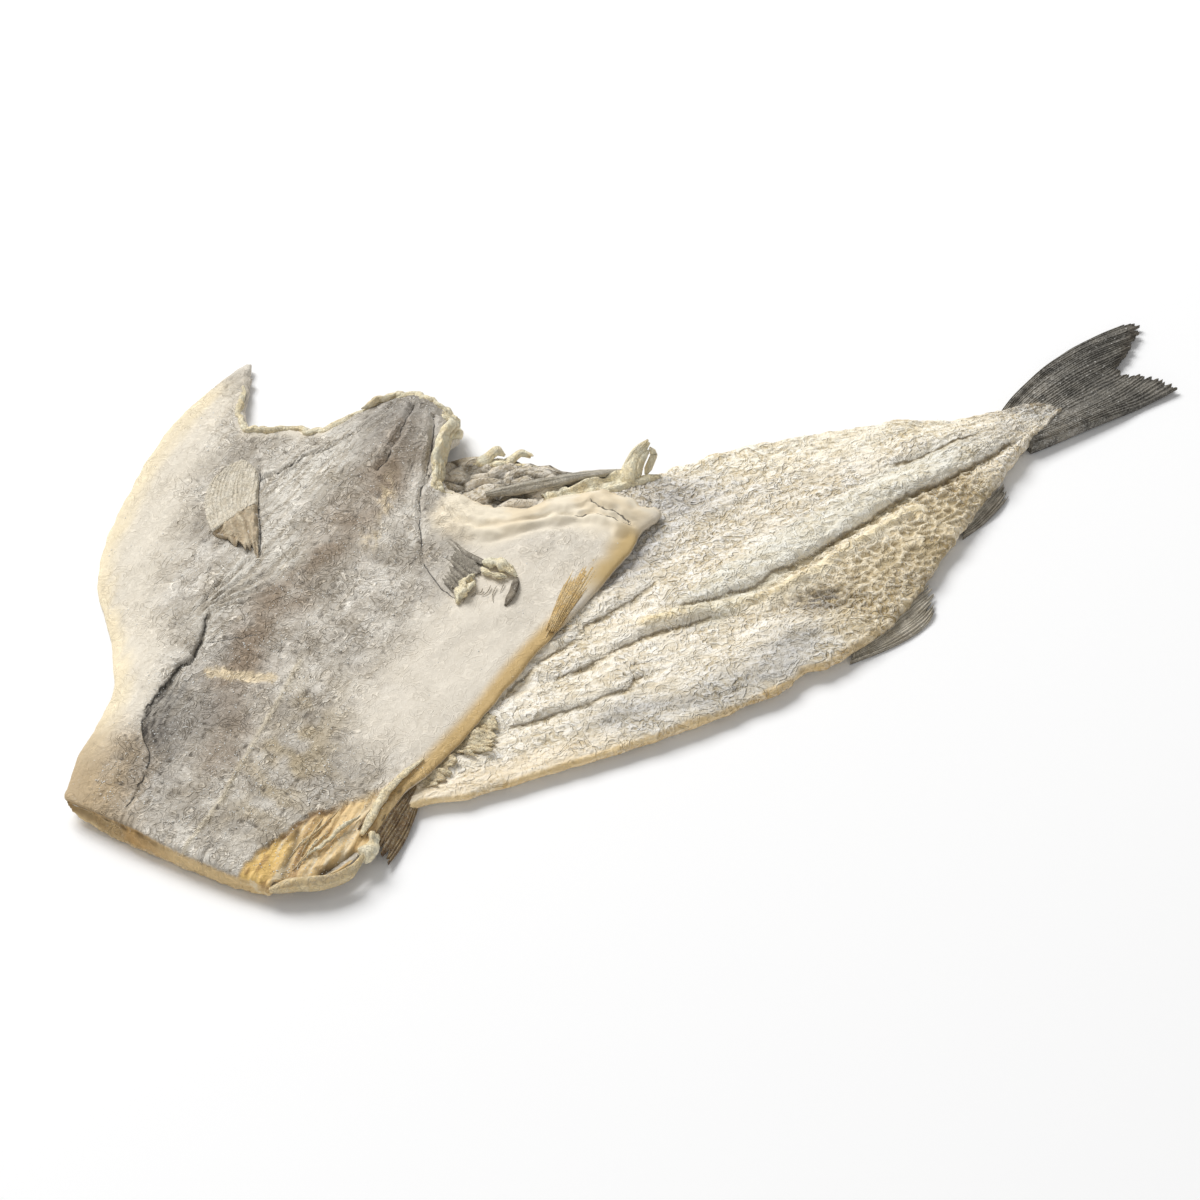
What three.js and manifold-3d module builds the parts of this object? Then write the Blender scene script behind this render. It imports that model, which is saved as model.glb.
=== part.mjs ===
// Salted dried cod: a split, flattened fish, folded across the body so that the front half
// lies skin side up over the flesh side of the rear half. Millimetres, +Z up.
// X runs from the fold to the tail, and the origin is under the middle of the box.

import * as THREE from 'three';
import Module from 'manifold-3d';

const degree = Math.PI / 180;

// Plan layout: both halves share sections that are parallel to the fold line
const foldCentre = new THREE.Vector2(3, 4);
const foldDirection = new THREE.Vector2(Math.cos(113.6 * degree), Math.sin(113.6 * degree));
const frontDirection = new THREE.Vector2(Math.cos(29.5 * degree), Math.sin(29.5 * degree));
const rearDirection = new THREE.Vector2(1, 0);

// Outlines: distance from the fold along the half, then offset along the section
const rearLength = 378;
const rearNearEdge = [
  [0, -43], [25, -45], [62, -39], [76, -47], [100, -54], [130, -63], [165, -70], [195, -71],
  [232, -70], [258, -62], [285, -50], [310, -40], [340, -28], [366, -18], [378, -16],
];
const rearFarEdge = [
  [0, 41], [40, 54], [100, 80], [160, 104], [215, 117], [238, 113], [247, 100], [252, 84],
  [266, 58], [286, 53], [306, 45], [326, 35], [346, 23], [360, 10], [378, 1],
];
const frontNearEdge = [
  [0, -43], [8, -55], [18, -62], [30, -64], [56, -65], [70, -69], [100, -74], [140, -79],
  [180, -86], [225, -90],
];
const frontFarEdge = [
  [0, 41], [20, 46], [48, 50], [62, 57], [78, 68], [98, 85], [120, 94], [145, 99],
  [180, 103], [205, 101], [234, 94],
];
// Nape: offset along the section, then distance from the fold to the torn edge
const napeNearOffset = -90;
const napeFarOffset = 94;
const napeEdge = [
  [-90, 224], [-72, 224], [-60, 216], [-46, 199], [-34, 195], [-18, 197], [-8, 213], [-1, 233],
  [8, 239], [20, 242], [32, 232], [42, 212], [52, 209], [60, 203], [67, 200], [73, 204],
  [80, 217], [94, 234],
];

// Thickness along each half, and how it falls off towards the margins
const rearThickness = [[0, 4.5], [60, 5], [130, 6.5], [210, 8], [290, 9], [345, 8.5], [378, 6]];
const frontThickness = [[0, 4.5], [60, 5], [130, 5.5], [190, 6.5], [238, 6]];
const marginThinning = 0.4;
const sideRim = 0.1;
const endRim = 0.035;
const rimBluntness = 0.35;

// Folding: space inside the bend, clearance between the halves, fall of the far margin
const bendGap = 1.8;
const restGap = 1.3;
const marginLift = 2;
const droopSpan = 46;
const farMarginHeight = 0.4;

// Relief
const muscleGrooves = [
  { from: 205, to: 372, offset: [[205, -24], [250, -21], [300, -17], [372, -14]], depth: 2.2 },
  { from: 120, to: 232, offset: [[120, -14], [163, -18], [200, -24], [232, -40]], depth: 1.6 },
  { from: 110, to: 240, offset: [[110, -10], [150, -6], [185, 2], [240, 2]], depth: 1.4 },
  { from: 105, to: 195, offset: [[105, -24], [145, -35], [195, -55]], depth: 1.3 },
];
const grooveWidth = 6;
const grooveFade = 25;
const napeHump = { along: 226, offset: 17, length: 38, width: 20, height: 8 };
const collarRidge = { inset: 8, width: 8, height: 1.8, nearOffset: -88, farOffset: -14 };
const backCrack = { to: 108, offset: [[-4, 14], [24, 19], [42, 30], [108, 33]], depth: 1.3 };
const membraneFold = { pitch: 15, height: 1.6, nearOffset: 52, from: 195 };

// Fins and shreds
const tailFin = {
  root: new THREE.Vector3(374, -5, 3.4), halfRoot: 9, tipHeight: 2.6, rootThickness: 5, tipThickness: 1.6,
  farBow: 8, nearBow: 4, rays: 5, rayFold: 0.5,
};
const tailFork = [
  [-1, 441, -20], [-0.8, 441, -15], [-0.4, 436, -8], [0, 428.5, 0],
  [0.4, 436, 5], [0.75, 448, 11], [1, 458, 18],
];
const finInset = 4;
const finThickness = { root: 2.2, tip: 1.2 };
const finTipHeight = 2.1;
const marginFins = [
  { from: 205, to: 258, reach: 7, lean: 4, height: 3.4 },
  { from: 296, to: 331, reach: 5, lean: 4, height: 3.6 },
];
const pectoralThickness = 2.2;
const pectoralSink = 0.6;
const pectoralFins = [
  { root: [[172, 74], [178, 58]], tip: [[137, 60], [131, 34]], lift: 1.6 },
  { root: [[152, -34], [170, -26]], tip: [[146, -44], [167, -57]], lift: 1.8 },
];
const cornerFin = { from: 30, to: 60, reach: 6, rootHeight: 9, tipHeight: 2.4, rootThickness: 3 };
const shreds = [
  { path: [[232, 52, 9], [238, 58, 13], [244, 61, 18], [250, 60, 22]], radii: [4.5, 2.2] },
  { path: [[203, 98, 6], [207, 102, 9], [212, 103, 11]], radii: [3, 1.4] },
  { path: [[208, 88, 6], [213, 91, 8.5], [219, 91, 9.5]], radii: [2.6, 1.3] },
  { path: [[20, -36, 8], [31, -43, 7], [44, -45, 7], [56, -40, 9]], radii: [2.8, 2.4] },
];

// Grid: rows along the fish and columns across it
const rearRows = 42;
const bendRows = 6;
const frontRows = 32;
const columns = 22;
const columnEvenness = 0.6;

const clamp = THREE.MathUtils.clamp;
const lerp = THREE.MathUtils.lerp;
const smooth = (from, to, at) => THREE.MathUtils.smoothstep(at, from, to);
const bell = (distance, width) => Math.exp(-((distance / width) ** 2));

// Smooth curve through stations [at, value] that never swings past a station
function through(stations) {
  const steps = stations.slice(1).map(([at, value], i) => (value - stations[i][1]) / (at - stations[i][0]));
  const slopes = stations.map((station, i) => {
    const before = steps[Math.max(i - 1, 0)];
    const after = steps[Math.min(i, steps.length - 1)];
    return before * after <= 0 ? 0 : (2 * before * after) / (before + after);
  });
  return (at) => {
    const last = stations.length - 2;
    const i = clamp(stations.findIndex((station) => station[0] > at) - 1, 0, last);
    const index = at >= stations[last + 1][0] ? last : i;
    const [start, low] = stations[index];
    const [end, high] = stations[index + 1];
    const k = clamp((at - start) / (end - start), 0, 1);
    const span = end - start;
    return (
      low * (1 + 2 * k) * (1 - k) ** 2 + high * k * k * (3 - 2 * k)
      + span * k * (1 - k) * (slopes[index] * (1 - k) - slopes[index + 1] * k)
    );
  };
}

const rearNear = through(rearNearEdge);
const rearFar = through(rearFarEdge);
const frontNear = through(frontNearEdge);
const frontFar = through(frontFarEdge);
const nape = through(napeEdge);
const rearThick = through(rearThickness);
const frontThick = through(frontThickness);
const grooveLines = muscleGrooves.map((groove) => ({ ...groove, at: through(groove.offset) }));
const crackLine = through(backCrack.offset);

// Plan point from a distance along a half and an offset along the section
function planPoint(direction, along, offset) {
  return new THREE.Vector2(
    foldCentre.x + along * direction.x + offset * foldDirection.x,
    foldCentre.y + along * direction.y + offset * foldDirection.y,
  );
}

// The same two measures back from a plan point
function planMeasures(direction, point) {
  const x = point.x - foldCentre.x;
  const y = point.y - foldCentre.y;
  const cross = direction.x * foldDirection.y - direction.y * foldDirection.x;
  return {
    along: (x * foldDirection.y - y * foldDirection.x) / cross,
    offset: (direction.x * y - direction.y * x) / cross,
  };
}

// Share of the full thickness left at a place across the fish: thinner margins, a round rim
const crown = (side) => 1 - marginThinning * Math.abs(side) ** 2.5;
function rim(place, width) {
  const k = clamp((Math.abs(place) - (1 - width)) / width, 0, 1);
  return rimBluntness + (1 - rimBluntness) * Math.sqrt(1 - k * k);
}

// Underside of the rear half: flat in the middle, margins lifted off the ground
const rearUnder = (side) => marginLift * smooth(0.55, 1, Math.abs(side));
const rearFull = (along, side) => rearThick(along) * crown(side);

// Long grooves between the muscles, and the folds of the belly membrane on the far side
function fleshRelief(along, offset) {
  let height = 0;
  for (const groove of grooveLines) {
    const starts = smooth(groove.from, groove.from + grooveFade, along);
    const ends = 1 - smooth(groove.to - grooveFade, groove.to, along);
    height -= groove.depth * starts * ends * bell(offset - groove.at(along), grooveWidth);
  }
  const onMembrane = smooth(membraneFold.nearOffset, membraneFold.nearOffset + 12, offset)
    * smooth(membraneFold.from, membraneFold.from + 20, along);
  height -= membraneFold.height * onMembrane
    * (0.5 + 0.5 * Math.sin((2 * Math.PI * (along + 0.6 * offset)) / membraneFold.pitch));
  return height;
}

// Height that the front half rests on: the rear half, falling to the ground past its far edge
function support(point) {
  const { along, offset } = planMeasures(rearDirection, point);
  const near = rearNear(along);
  const far = rearFar(along);
  const side = clamp((2 * (offset - near)) / (far - near) - 1, -1, 1);
  const height = rearUnder(side) + rearFull(along, side) + restGap;
  const fall = smooth(0, droopSpan, offset - far);
  return lerp(height, farMarginHeight, fall);
}

// Relief of the skin: nape hump, collar ridge along the torn edge, crack beside the back line
function skinRelief(along, offset, toNape) {
  const hump = napeHump.height
    * bell(along - napeHump.along, napeHump.length) * bell(offset - napeHump.offset, napeHump.width);
  const onCollar = smooth(collarRidge.nearOffset - 6, collarRidge.nearOffset + 10, offset)
    * (1 - smooth(collarRidge.farOffset - 8, collarRidge.farOffset, offset));
  const collar = collarRidge.height * onCollar * bell(toNape - collarRidge.inset, collarRidge.width);
  const onCrack = 1 - smooth(backCrack.to - 20, backCrack.to, along);
  const crack = backCrack.depth * onCrack * bell(offset - crackLine(along), grooveWidth * 0.6);
  return hump + collar - crack;
}

// One point of the sheet as a pair: flesh face and skin face
function rearPair(along, across) {
  const side = 2 * across - 1;
  const offset = lerp(rearNear(along), rearFar(along), across);
  const plan = planPoint(rearDirection, along, offset);
  const under = rearUnder(side);
  const full = rearFull(along, side);
  const middle = under + full / 2;
  const edge = rim(side, sideRim);
  const half = (full / 2) * edge;
  return {
    flesh: new THREE.Vector3(plan.x, plan.y, middle + half + fleshRelief(along, offset) * edge ** 2),
    skin: new THREE.Vector3(plan.x, plan.y, middle - half),
  };
}

function frontPair(share, across) {
  const side = 2 * across - 1;
  const toEdge = nape(lerp(napeNearOffset, napeFarOffset, across));
  const along = share * toEdge;
  const offset = lerp(frontNear(along), frontFar(along), across);
  const plan = planPoint(frontDirection, along, offset);
  const under = support(plan) + (bendGap - restGap) * (1 - smooth(0, 50, along));
  const full = frontThick(along) * crown(side);
  const middle = under + full / 2;
  const edge = rim(side, sideRim) * rim(share, endRim);
  const half = (full / 2) * edge;
  const relief = skinRelief(along, offset, toEdge - along) * Math.sqrt(edge);
  return {
    flesh: new THREE.Vector3(plan.x, plan.y, middle - half),
    skin: new THREE.Vector3(plan.x, plan.y, middle + half + relief),
  };
}

// Half-round bend between the two halves; turn runs from -90 to 90 degrees
function bendPair(turn, across) {
  const rear = rearPair(0, across);
  const front = frontPair(0, across);
  const rearMiddle = rear.flesh.clone().lerp(rear.skin, 0.5);
  const frontMiddle = front.flesh.clone().lerp(front.skin, 0.5);
  const centre = rearMiddle.clone().lerp(frontMiddle, 0.5);
  const radius = (frontMiddle.z - rearMiddle.z) / 2;
  const half = lerp(rear.flesh.z - rear.skin.z, front.skin.z - front.flesh.z, 0.5 + turn / Math.PI) / 2;
  const outward = new THREE.Vector3(-foldDirection.y, foldDirection.x, 0).multiplyScalar(Math.cos(turn));
  outward.z = Math.sin(turn);
  return {
    flesh: centre.clone().addScaledVector(outward, radius - half),
    skin: centre.clone().addScaledVector(outward, radius + half),
  };
}

// Closed solid from rows of flesh and skin points: two faces, two margins and two ends
function sheetGeometry(rows) {
  const width = rows[0].length;
  const positions = rows.flat().flatMap((pair) => [...pair.flesh.toArray(), ...pair.skin.toArray()]);
  const flesh = (i, j) => 2 * (i * width + j);
  const skin = (i, j) => flesh(i, j) + 1;
  const index = [];
  const quad = (a, b, c, d) => index.push(a, b, c, a, c, d);
  const last = rows.length - 1;
  for (let i = 0; i < last; i += 1) {
    for (let j = 0; j < width - 1; j += 1) {
      quad(flesh(i, j), flesh(i, j + 1), flesh(i + 1, j + 1), flesh(i + 1, j));
      quad(skin(i, j), skin(i + 1, j), skin(i + 1, j + 1), skin(i, j + 1));
    }
    quad(flesh(i, 0), flesh(i + 1, 0), skin(i + 1, 0), skin(i, 0));
    quad(flesh(i, width - 1), skin(i, width - 1), skin(i + 1, width - 1), flesh(i + 1, width - 1));
  }
  for (let j = 0; j < width - 1; j += 1) {
    quad(flesh(0, j), skin(0, j), skin(0, j + 1), flesh(0, j + 1));
    quad(flesh(last, j), flesh(last, j + 1), skin(last, j + 1), skin(last, j));
  }
  const geometry = new THREE.BufferGeometry();
  geometry.setAttribute('position', new THREE.Float32BufferAttribute(positions, 3));
  geometry.setIndex(index);
  return geometry;
}

// The folded body, row by row from the tail root round the fold to the nape
function bodyGeometry() {
  const even = Array.from({ length: columns }, (unused, j) => j / (columns - 1));
  const eased = even.map((at) => lerp(0.5 - 0.5 * Math.cos(Math.PI * at), at, columnEvenness));
  const rows = [];
  for (let i = 0; i < rearRows; i += 1) {
    rows.push(eased.map((at) => rearPair(rearLength * (1 - i / rearRows), at)));
  }
  for (let i = 0; i <= bendRows; i += 1) {
    rows.push(eased.map((at) => bendPair(Math.PI * (i / bendRows - 0.5), at)));
  }
  for (let i = 1; i <= frontRows; i += 1) {
    rows.push(eased.map((at) => frontPair(i / frontRows, at)));
  }
  return sheetGeometry(rows);
}

// Thin fin or flap: a grid of middle points from root to tip, with its thickness
function finGeometry(steps, places, middleAt, thicknessAt) {
  const rows = Array.from({ length: steps + 1 }, (unused, i) => (
    Array.from({ length: places + 1 }, (unusedToo, j) => {
      const middle = middleAt(i / steps, j / places);
      const half = new THREE.Vector3(0, 0, thicknessAt(i / steps) / 2);
      return { flesh: middle.clone().add(half), skin: middle.clone().sub(half) };
    })
  ));
  const corner = rows[0][0].flesh;
  const beside = rows[0][1].flesh.clone().sub(corner);
  const beyond = rows[1][0].flesh.clone().sub(corner);
  const facesDown = beside.cross(beyond).z < 0;
  return sheetGeometry(facesDown ? rows.map((row) => row.reverse()) : rows);
}

// Tail fin: rays from the root to the forked edge, bowed sides and a fold for each ray
function tailGeometry() {
  const edgeX = through(tailFork.map(([across, x]) => [across, x]));
  const edgeY = through(tailFork.map(([across, , y]) => [across, y]));
  return finGeometry(10, 15, (share, place) => {
    const across = 1 - 2 * place;
    const sideBow = across > 0 ? tailFin.farBow : -tailFin.nearBow;
    const bow = sideBow * across * across * Math.sin(Math.PI * share);
    const fold = tailFin.rayFold * smooth(0, 0.4, share) * Math.cos(tailFin.rays * Math.PI * across);
    return new THREE.Vector3(
      lerp(tailFin.root.x, edgeX(across), share),
      lerp(tailFin.root.y + tailFin.halfRoot * across, edgeY(across), share) + bow,
      lerp(tailFin.root.z, tailFin.tipHeight, share) + fold,
    );
  }, (share) => lerp(tailFin.rootThickness, tailFin.tipThickness, share));
}

// Fin on the near margin of the rear half: it leans towards the tail and tapers at both ends
function marginFinGeometry({ from, to, reach, lean, height }) {
  return finGeometry(3, 8, (share, place) => {
    const along = lerp(from, to, place);
    const out = lerp(-finInset, reach * Math.sin(Math.PI * lerp(0.08, 0.92, place)) ** 0.7, share);
    const plan = planPoint(rearDirection, along + lean * share, rearNear(along) - out);
    return new THREE.Vector3(plan.x, plan.y, lerp(height, finTipHeight, share));
  }, (share) => lerp(finThickness.root, finThickness.tip, share));
}

// Height of the skin at a place on the front half
function skinHeight(along, offset) {
  const across = clamp((offset - frontNear(along)) / (frontFar(along) - frontNear(along)), 0, 1);
  const share = along / nape(lerp(napeNearOffset, napeFarOffset, across));
  return frontPair(Math.min(share, 1), across).skin.z;
}

// Pectoral fin folded down on the skin: corners are [along, offset] at the root and the tip
function pectoralGeometry({ root, tip, lift }) {
  return finGeometry(6, 4, (share, place) => {
    const start = [lerp(root[0][0], root[1][0], place), lerp(root[0][1], root[1][1], place)];
    const end = [lerp(tip[0][0], tip[1][0], place), lerp(tip[0][1], tip[1][1], place)];
    const along = lerp(start[0], end[0], share);
    const offset = lerp(start[1], end[1], share);
    const plan = planPoint(frontDirection, along, offset);
    const rise = lerp(-pectoralSink, lift, smooth(0, 0.7, share));
    return new THREE.Vector3(plan.x, plan.y, skinHeight(along, offset) + rise);
  }, () => pectoralThickness);
}

// Brown fin that hangs from the near margin beside the fold
function cornerFinGeometry() {
  return finGeometry(4, 6, (share, place) => {
    const along = lerp(cornerFin.from, cornerFin.to, place);
    const offset = frontNear(along) + lerp(finInset + 2, -cornerFin.reach, share);
    const plan = planPoint(frontDirection, along, offset);
    return new THREE.Vector3(plan.x, plan.y, lerp(cornerFin.rootHeight, cornerFin.tipHeight, share ** 0.7));
  }, (share) => lerp(cornerFin.rootThickness, finThickness.tip, share));
}

// Tapered, bent shred of dried tissue: six-sided rings along a curve
function shredGeometry({ path, radii }) {
  const curve = new THREE.CatmullRomCurve3(path.map((point) => new THREE.Vector3(...point)));
  const steps = 6;
  const sides = 6;
  const { normals, binormals } = curve.computeFrenetFrames(steps);
  const positions = [];
  for (let i = 0; i <= steps; i += 1) {
    const centre = curve.getPointAt(i / steps);
    const radius = lerp(radii[0], radii[1], i / steps);
    for (let j = 0; j < sides; j += 1) {
      const turn = (2 * Math.PI * j) / sides;
      const point = centre.clone();
      point.addScaledVector(normals[i], radius * Math.cos(turn));
      point.addScaledVector(binormals[i], radius * Math.sin(turn));
      positions.push(...point.toArray());
    }
  }
  const index = [];
  for (let j = 0; j < sides; j += 1) {
    const next = (j + 1) % sides;
    for (let i = 0; i < steps; i += 1) {
      const ring = i * sides;
      const above = ring + sides;
      index.push(ring + j, ring + next, above + next, ring + j, above + next, above + j);
    }
    if (j > 0 && j < sides - 1) {
      const top = steps * sides;
      index.push(0, next, j, top, top + j, top + next);
    }
  }
  const geometry = new THREE.BufferGeometry();
  geometry.setAttribute('position', new THREE.Float32BufferAttribute(positions, 3));
  geometry.setIndex(index);
  return geometry;
}

const wasm = await Module();
wasm.setup();

function solidOf(geometry) {
  const vertProperties = new Float32Array(geometry.attributes.position.array);
  const triVerts = new Uint32Array(geometry.index.array);
  return new wasm.Manifold(new wasm.Mesh({ numProp: 3, vertProperties, triVerts }));
}

function geometryOf(solid) {
  const mesh = solid.getMesh();
  const geometry = new THREE.BufferGeometry();
  geometry.setAttribute('position', new THREE.Float32BufferAttribute(mesh.vertProperties, 3));
  geometry.setIndex(Array.from(mesh.triVerts));
  return geometry;
}

// One solid: the folded body with its fins and shreds grown on
function codGeometry() {
  const grown = [
    tailGeometry(),
    ...marginFins.map(marginFinGeometry),
    ...pectoralFins.map(pectoralGeometry),
    cornerFinGeometry(),
    ...shreds.map(shredGeometry),
  ];
  const whole = grown.reduce((sum, piece) => sum.add(solidOf(piece)), solidOf(bodyGeometry()));
  const geometry = geometryOf(whole);
  geometry.computeBoundingBox();
  const middle = geometry.boundingBox.getCenter(new THREE.Vector3());
  geometry.translate(-middle.x, -middle.y, -geometry.boundingBox.min.z);
  geometry.computeVertexNormals();
  return geometry;
}

const fleshMaterial = new THREE.MeshStandardMaterial({ color: 0xcfc6b4, roughness: 0.85, metalness: 0 });
const cod = new THREE.Mesh(codGeometry(), fleshMaterial);
cod.name = 'cod';

const fish = new THREE.Group();
fish.add(cod);

export default fish;
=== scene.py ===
import math
import bpy
import numpy as np
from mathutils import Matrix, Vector


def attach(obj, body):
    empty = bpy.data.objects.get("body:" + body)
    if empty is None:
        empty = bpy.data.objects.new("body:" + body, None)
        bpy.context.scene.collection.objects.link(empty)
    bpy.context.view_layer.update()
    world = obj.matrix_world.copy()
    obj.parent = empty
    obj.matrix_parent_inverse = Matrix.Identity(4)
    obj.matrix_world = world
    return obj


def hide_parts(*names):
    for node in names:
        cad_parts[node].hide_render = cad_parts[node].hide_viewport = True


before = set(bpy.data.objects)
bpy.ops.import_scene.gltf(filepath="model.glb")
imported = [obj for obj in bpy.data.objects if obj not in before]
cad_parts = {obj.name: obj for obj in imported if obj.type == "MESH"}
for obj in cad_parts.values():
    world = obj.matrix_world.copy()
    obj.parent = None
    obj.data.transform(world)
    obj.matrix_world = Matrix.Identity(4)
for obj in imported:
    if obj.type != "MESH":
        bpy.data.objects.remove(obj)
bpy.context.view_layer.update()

# Plan of the folded fish in millimetres, the same as the solid's
plan = {
    "foldCentre": (3.0, 4.0),        # middle of the fold line
    "foldTurn": 113.6,               # degrees: direction of the fold line and of every section
    "frontTurn": 29.5,               # degrees: direction of the front half
    "boxMiddle": (221.045, 69.375),  # middle of the fish's box, where the origin is
    "metre": 0.001,
}
foldLine = np.array([math.cos(math.radians(plan["foldTurn"])), math.sin(math.radians(plan["foldTurn"]))])
frontLine = np.array([math.cos(math.radians(plan["frontTurn"])), math.sin(math.radians(plan["frontTurn"]))])
rearLine = np.array([1.0, 0.0])


# Curve through stations (at, value): cubic between stations, each slope the harmonic mean
# of its two neighbours, zero at a turn, so it never swings past a station
def curveThrough(stations):
    at, value = np.array(stations, float).T
    step = np.diff(value) / np.diff(at)
    before, after = np.r_[step[0], step], np.r_[step, step[-1]]
    product = before * after
    slope = np.where(product > 0, 2 * product / np.where(product > 0, before + after, 1), 0)

    def curve(place):
        place = np.asarray(place, float)
        i = np.clip(np.searchsorted(at, place, side="right") - 1, 0, len(at) - 2)
        span = at[i + 1] - at[i]
        k = np.clip((place - at[i]) / span, 0, 1)
        ends = value[i] * (1 + 2 * k) * (1 - k) ** 2 + value[i + 1] * k * k * (3 - 2 * k)
        return ends + span * k * (1 - k) * (slope[i] * (1 - k) - slope[i + 1] * k)

    return curve


def smooth(start, end, place):  # eased step from 0 at start to 1 at end, either way round
    k = np.clip((place - start) / (end - start), 0, 1)
    return k * k * (3 - 2 * k)


def bell(distance, width):  # 1 at the middle, falling as a Gaussian
    return np.exp(-((distance / width) ** 2))


def lerp(low, high, share):
    return low + (high - low) * share


# Gradient noise: a random slope at each whole-number place, eased between four corners, -1 to 1
def softNoise(x, y, seed):
    angle = np.random.default_rng(seed).uniform(0, 2 * np.pi, (256, 256))
    column, row = np.floor(x).astype(int), np.floor(y).astype(int)
    u, v = x - column, y - row

    def slopeAt(i, j):
        turn = angle[(column + i) % 256, (row + j) % 256]
        return np.cos(turn) * (u - i) + np.sin(turn) * (v - j)

    easeU, easeV = u ** 3 * (u * (6 * u - 15) + 10), v ** 3 * (v * (6 * v - 15) + 10)
    low, high = lerp(slopeAt(0, 0), slopeAt(1, 0), easeU), lerp(slopeAt(0, 1), slopeAt(1, 1), easeU)
    return 1.5 * lerp(low, high, easeV)


def layeredNoise(x, y, seed, layers=3):  # octaves, each twice as fine and half as high
    return sum(softNoise(x * 2 ** k, y * 2 ** k, seed + k) / 2 ** k for k in range(layers))


# Curly threads: high along the zero lines of a warped noise, 0 to 1
def threadNoise(x, y, seed, width=0.16):
    warpX, warpY = softNoise(x * 0.5, y * 0.5, seed + 7), softNoise(x * 0.5 + 9, y * 0.5, seed + 8)
    return bell(softNoise(x + 0.9 * warpX, y + 0.9 * warpY, seed), width)


# Cell noise: distance to the nearest and second nearest of one random point in each square
def cellNoise(x, y, seed):
    spots = np.random.default_rng(seed).uniform(0, 1, (128, 128, 2))
    column, row = np.floor(x).astype(int), np.floor(y).astype(int)
    nearest = np.full(np.shape(x), 9.0)
    second = nearest.copy()
    for i in (-1, 0, 1):
        for j in (-1, 0, 1):
            spot = spots[(column + i) % 128, (row + j) % 128]
            gap = np.hypot(column + i + spot[..., 0] - x, row + j + spot[..., 1] - y)
            second = np.minimum(second, np.maximum(gap, nearest))
            nearest = np.minimum(nearest, gap)
    return nearest, second


# Distance from each place to the nearest stretch of a line of points, and the same with a sign:
# positive on the side of the larger offset
def lineSide(along, offset, points):
    least = np.full(np.shape(along), 1e9)
    side = least.copy()
    for (a0, b0), (a1, b1) in zip(points[:-1], points[1:]):
        da, db = a1 - a0, b1 - b0
        k = np.clip(((along - a0) * da + (offset - b0) * db) / (da * da + db * db), 0, 1)
        gap = np.hypot(along - a0 - k * da, offset - b0 - k * db)
        turn = (da * (offset - b0) - db * (along - a0)) * np.sign(points[-1][0] - points[0][0])
        side = np.where(gap < least, np.copysign(gap, turn), side)
        least = np.minimum(least, gap)
    return least, side


def lineDistance(along, offset, points):
    return lineSide(along, offset, points)[0]


def nearestLine(pairs):  # of several (distance, side) pairs, the nearest, scaled to fit in 0 to 1
    gap, side = (np.stack(parts) for parts in zip(*pairs))
    best = np.argmin(gap, 0)[None]
    return np.take_along_axis(gap, best, 0)[0] / 10, 0.5 + np.take_along_axis(side, best, 0)[0] / 20


def planPoint(line, along, offset):  # fold centre + along times the half's line + offset times the fold line
    x0, y0 = plan["foldCentre"]
    return x0 + along * line[0] + offset * foldLine[0], y0 + along * line[1] + offset * foldLine[1]


def planMeasures(line, x, y):  # the same two measures back from a plan point
    x, y = x - plan["foldCentre"][0], y - plan["foldCentre"][1]
    cross = line[0] * foldLine[1] - line[1] * foldLine[0]
    return (x * foldLine[1] - y * foldLine[0]) / cross, (line[0] * y - line[1] * x) / cross


# Mesh building: a shape is a dictionary of points, quads, triangles and masks
def sheetShape(top, bottom, masks=None):
    # closed sheet: a fine top grid and a coarser bottom grid with the same rows, whose columns
    # divide the top's evenly; margins are quads, ends are zipped with triangles
    rows, fine = top.shape[:2]
    coarse = bottom.shape[1]
    ratio = (fine - 1) // (coarse - 1)
    upper = np.arange(rows * fine).reshape(rows, fine)
    lower = rows * fine + np.arange(rows * coarse).reshape(rows, coarse)

    def cells(grid):
        return np.stack([grid[:-1, :-1], grid[:-1, 1:], grid[1:, 1:], grid[1:, :-1]], -1).reshape(-1, 4)

    def margin(a, b):
        return np.stack([a[:-1], a[1:], b[1:], b[:-1]], -1)

    def zipped(a, b):
        i = np.arange(fine - 1)
        j = np.arange(coarse - 1)
        fan = np.stack([a[i], a[i + 1], b[(2 * i + ratio) // (2 * ratio)]], -1)
        return np.concatenate([fan, np.stack([b[j], a[j * ratio + ratio // 2], b[j + 1]], -1)])

    quads = [cells(upper), cells(lower)[:, ::-1]]
    quads += [margin(upper[:, 0], lower[:, 0]), margin(upper[:, -1], lower[:, -1])[:, ::-1]]
    tris = [zipped(upper[0], lower[0])[:, ::-1], zipped(upper[-1], lower[-1])]
    points = np.concatenate([top.reshape(-1, 3), bottom.reshape(-1, 3)])
    shape = {"points": points, "quads": np.concatenate(quads), "tris": np.concatenate(tris), "masks": {}}
    for name, pair in (masks or {}).items():
        flat = [np.broadcast_to(value, grid.shape[:2]).ravel() for value, grid in zip(pair, (top, bottom))]
        shape["masks"][name] = np.concatenate(flat)
    return shape


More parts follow.
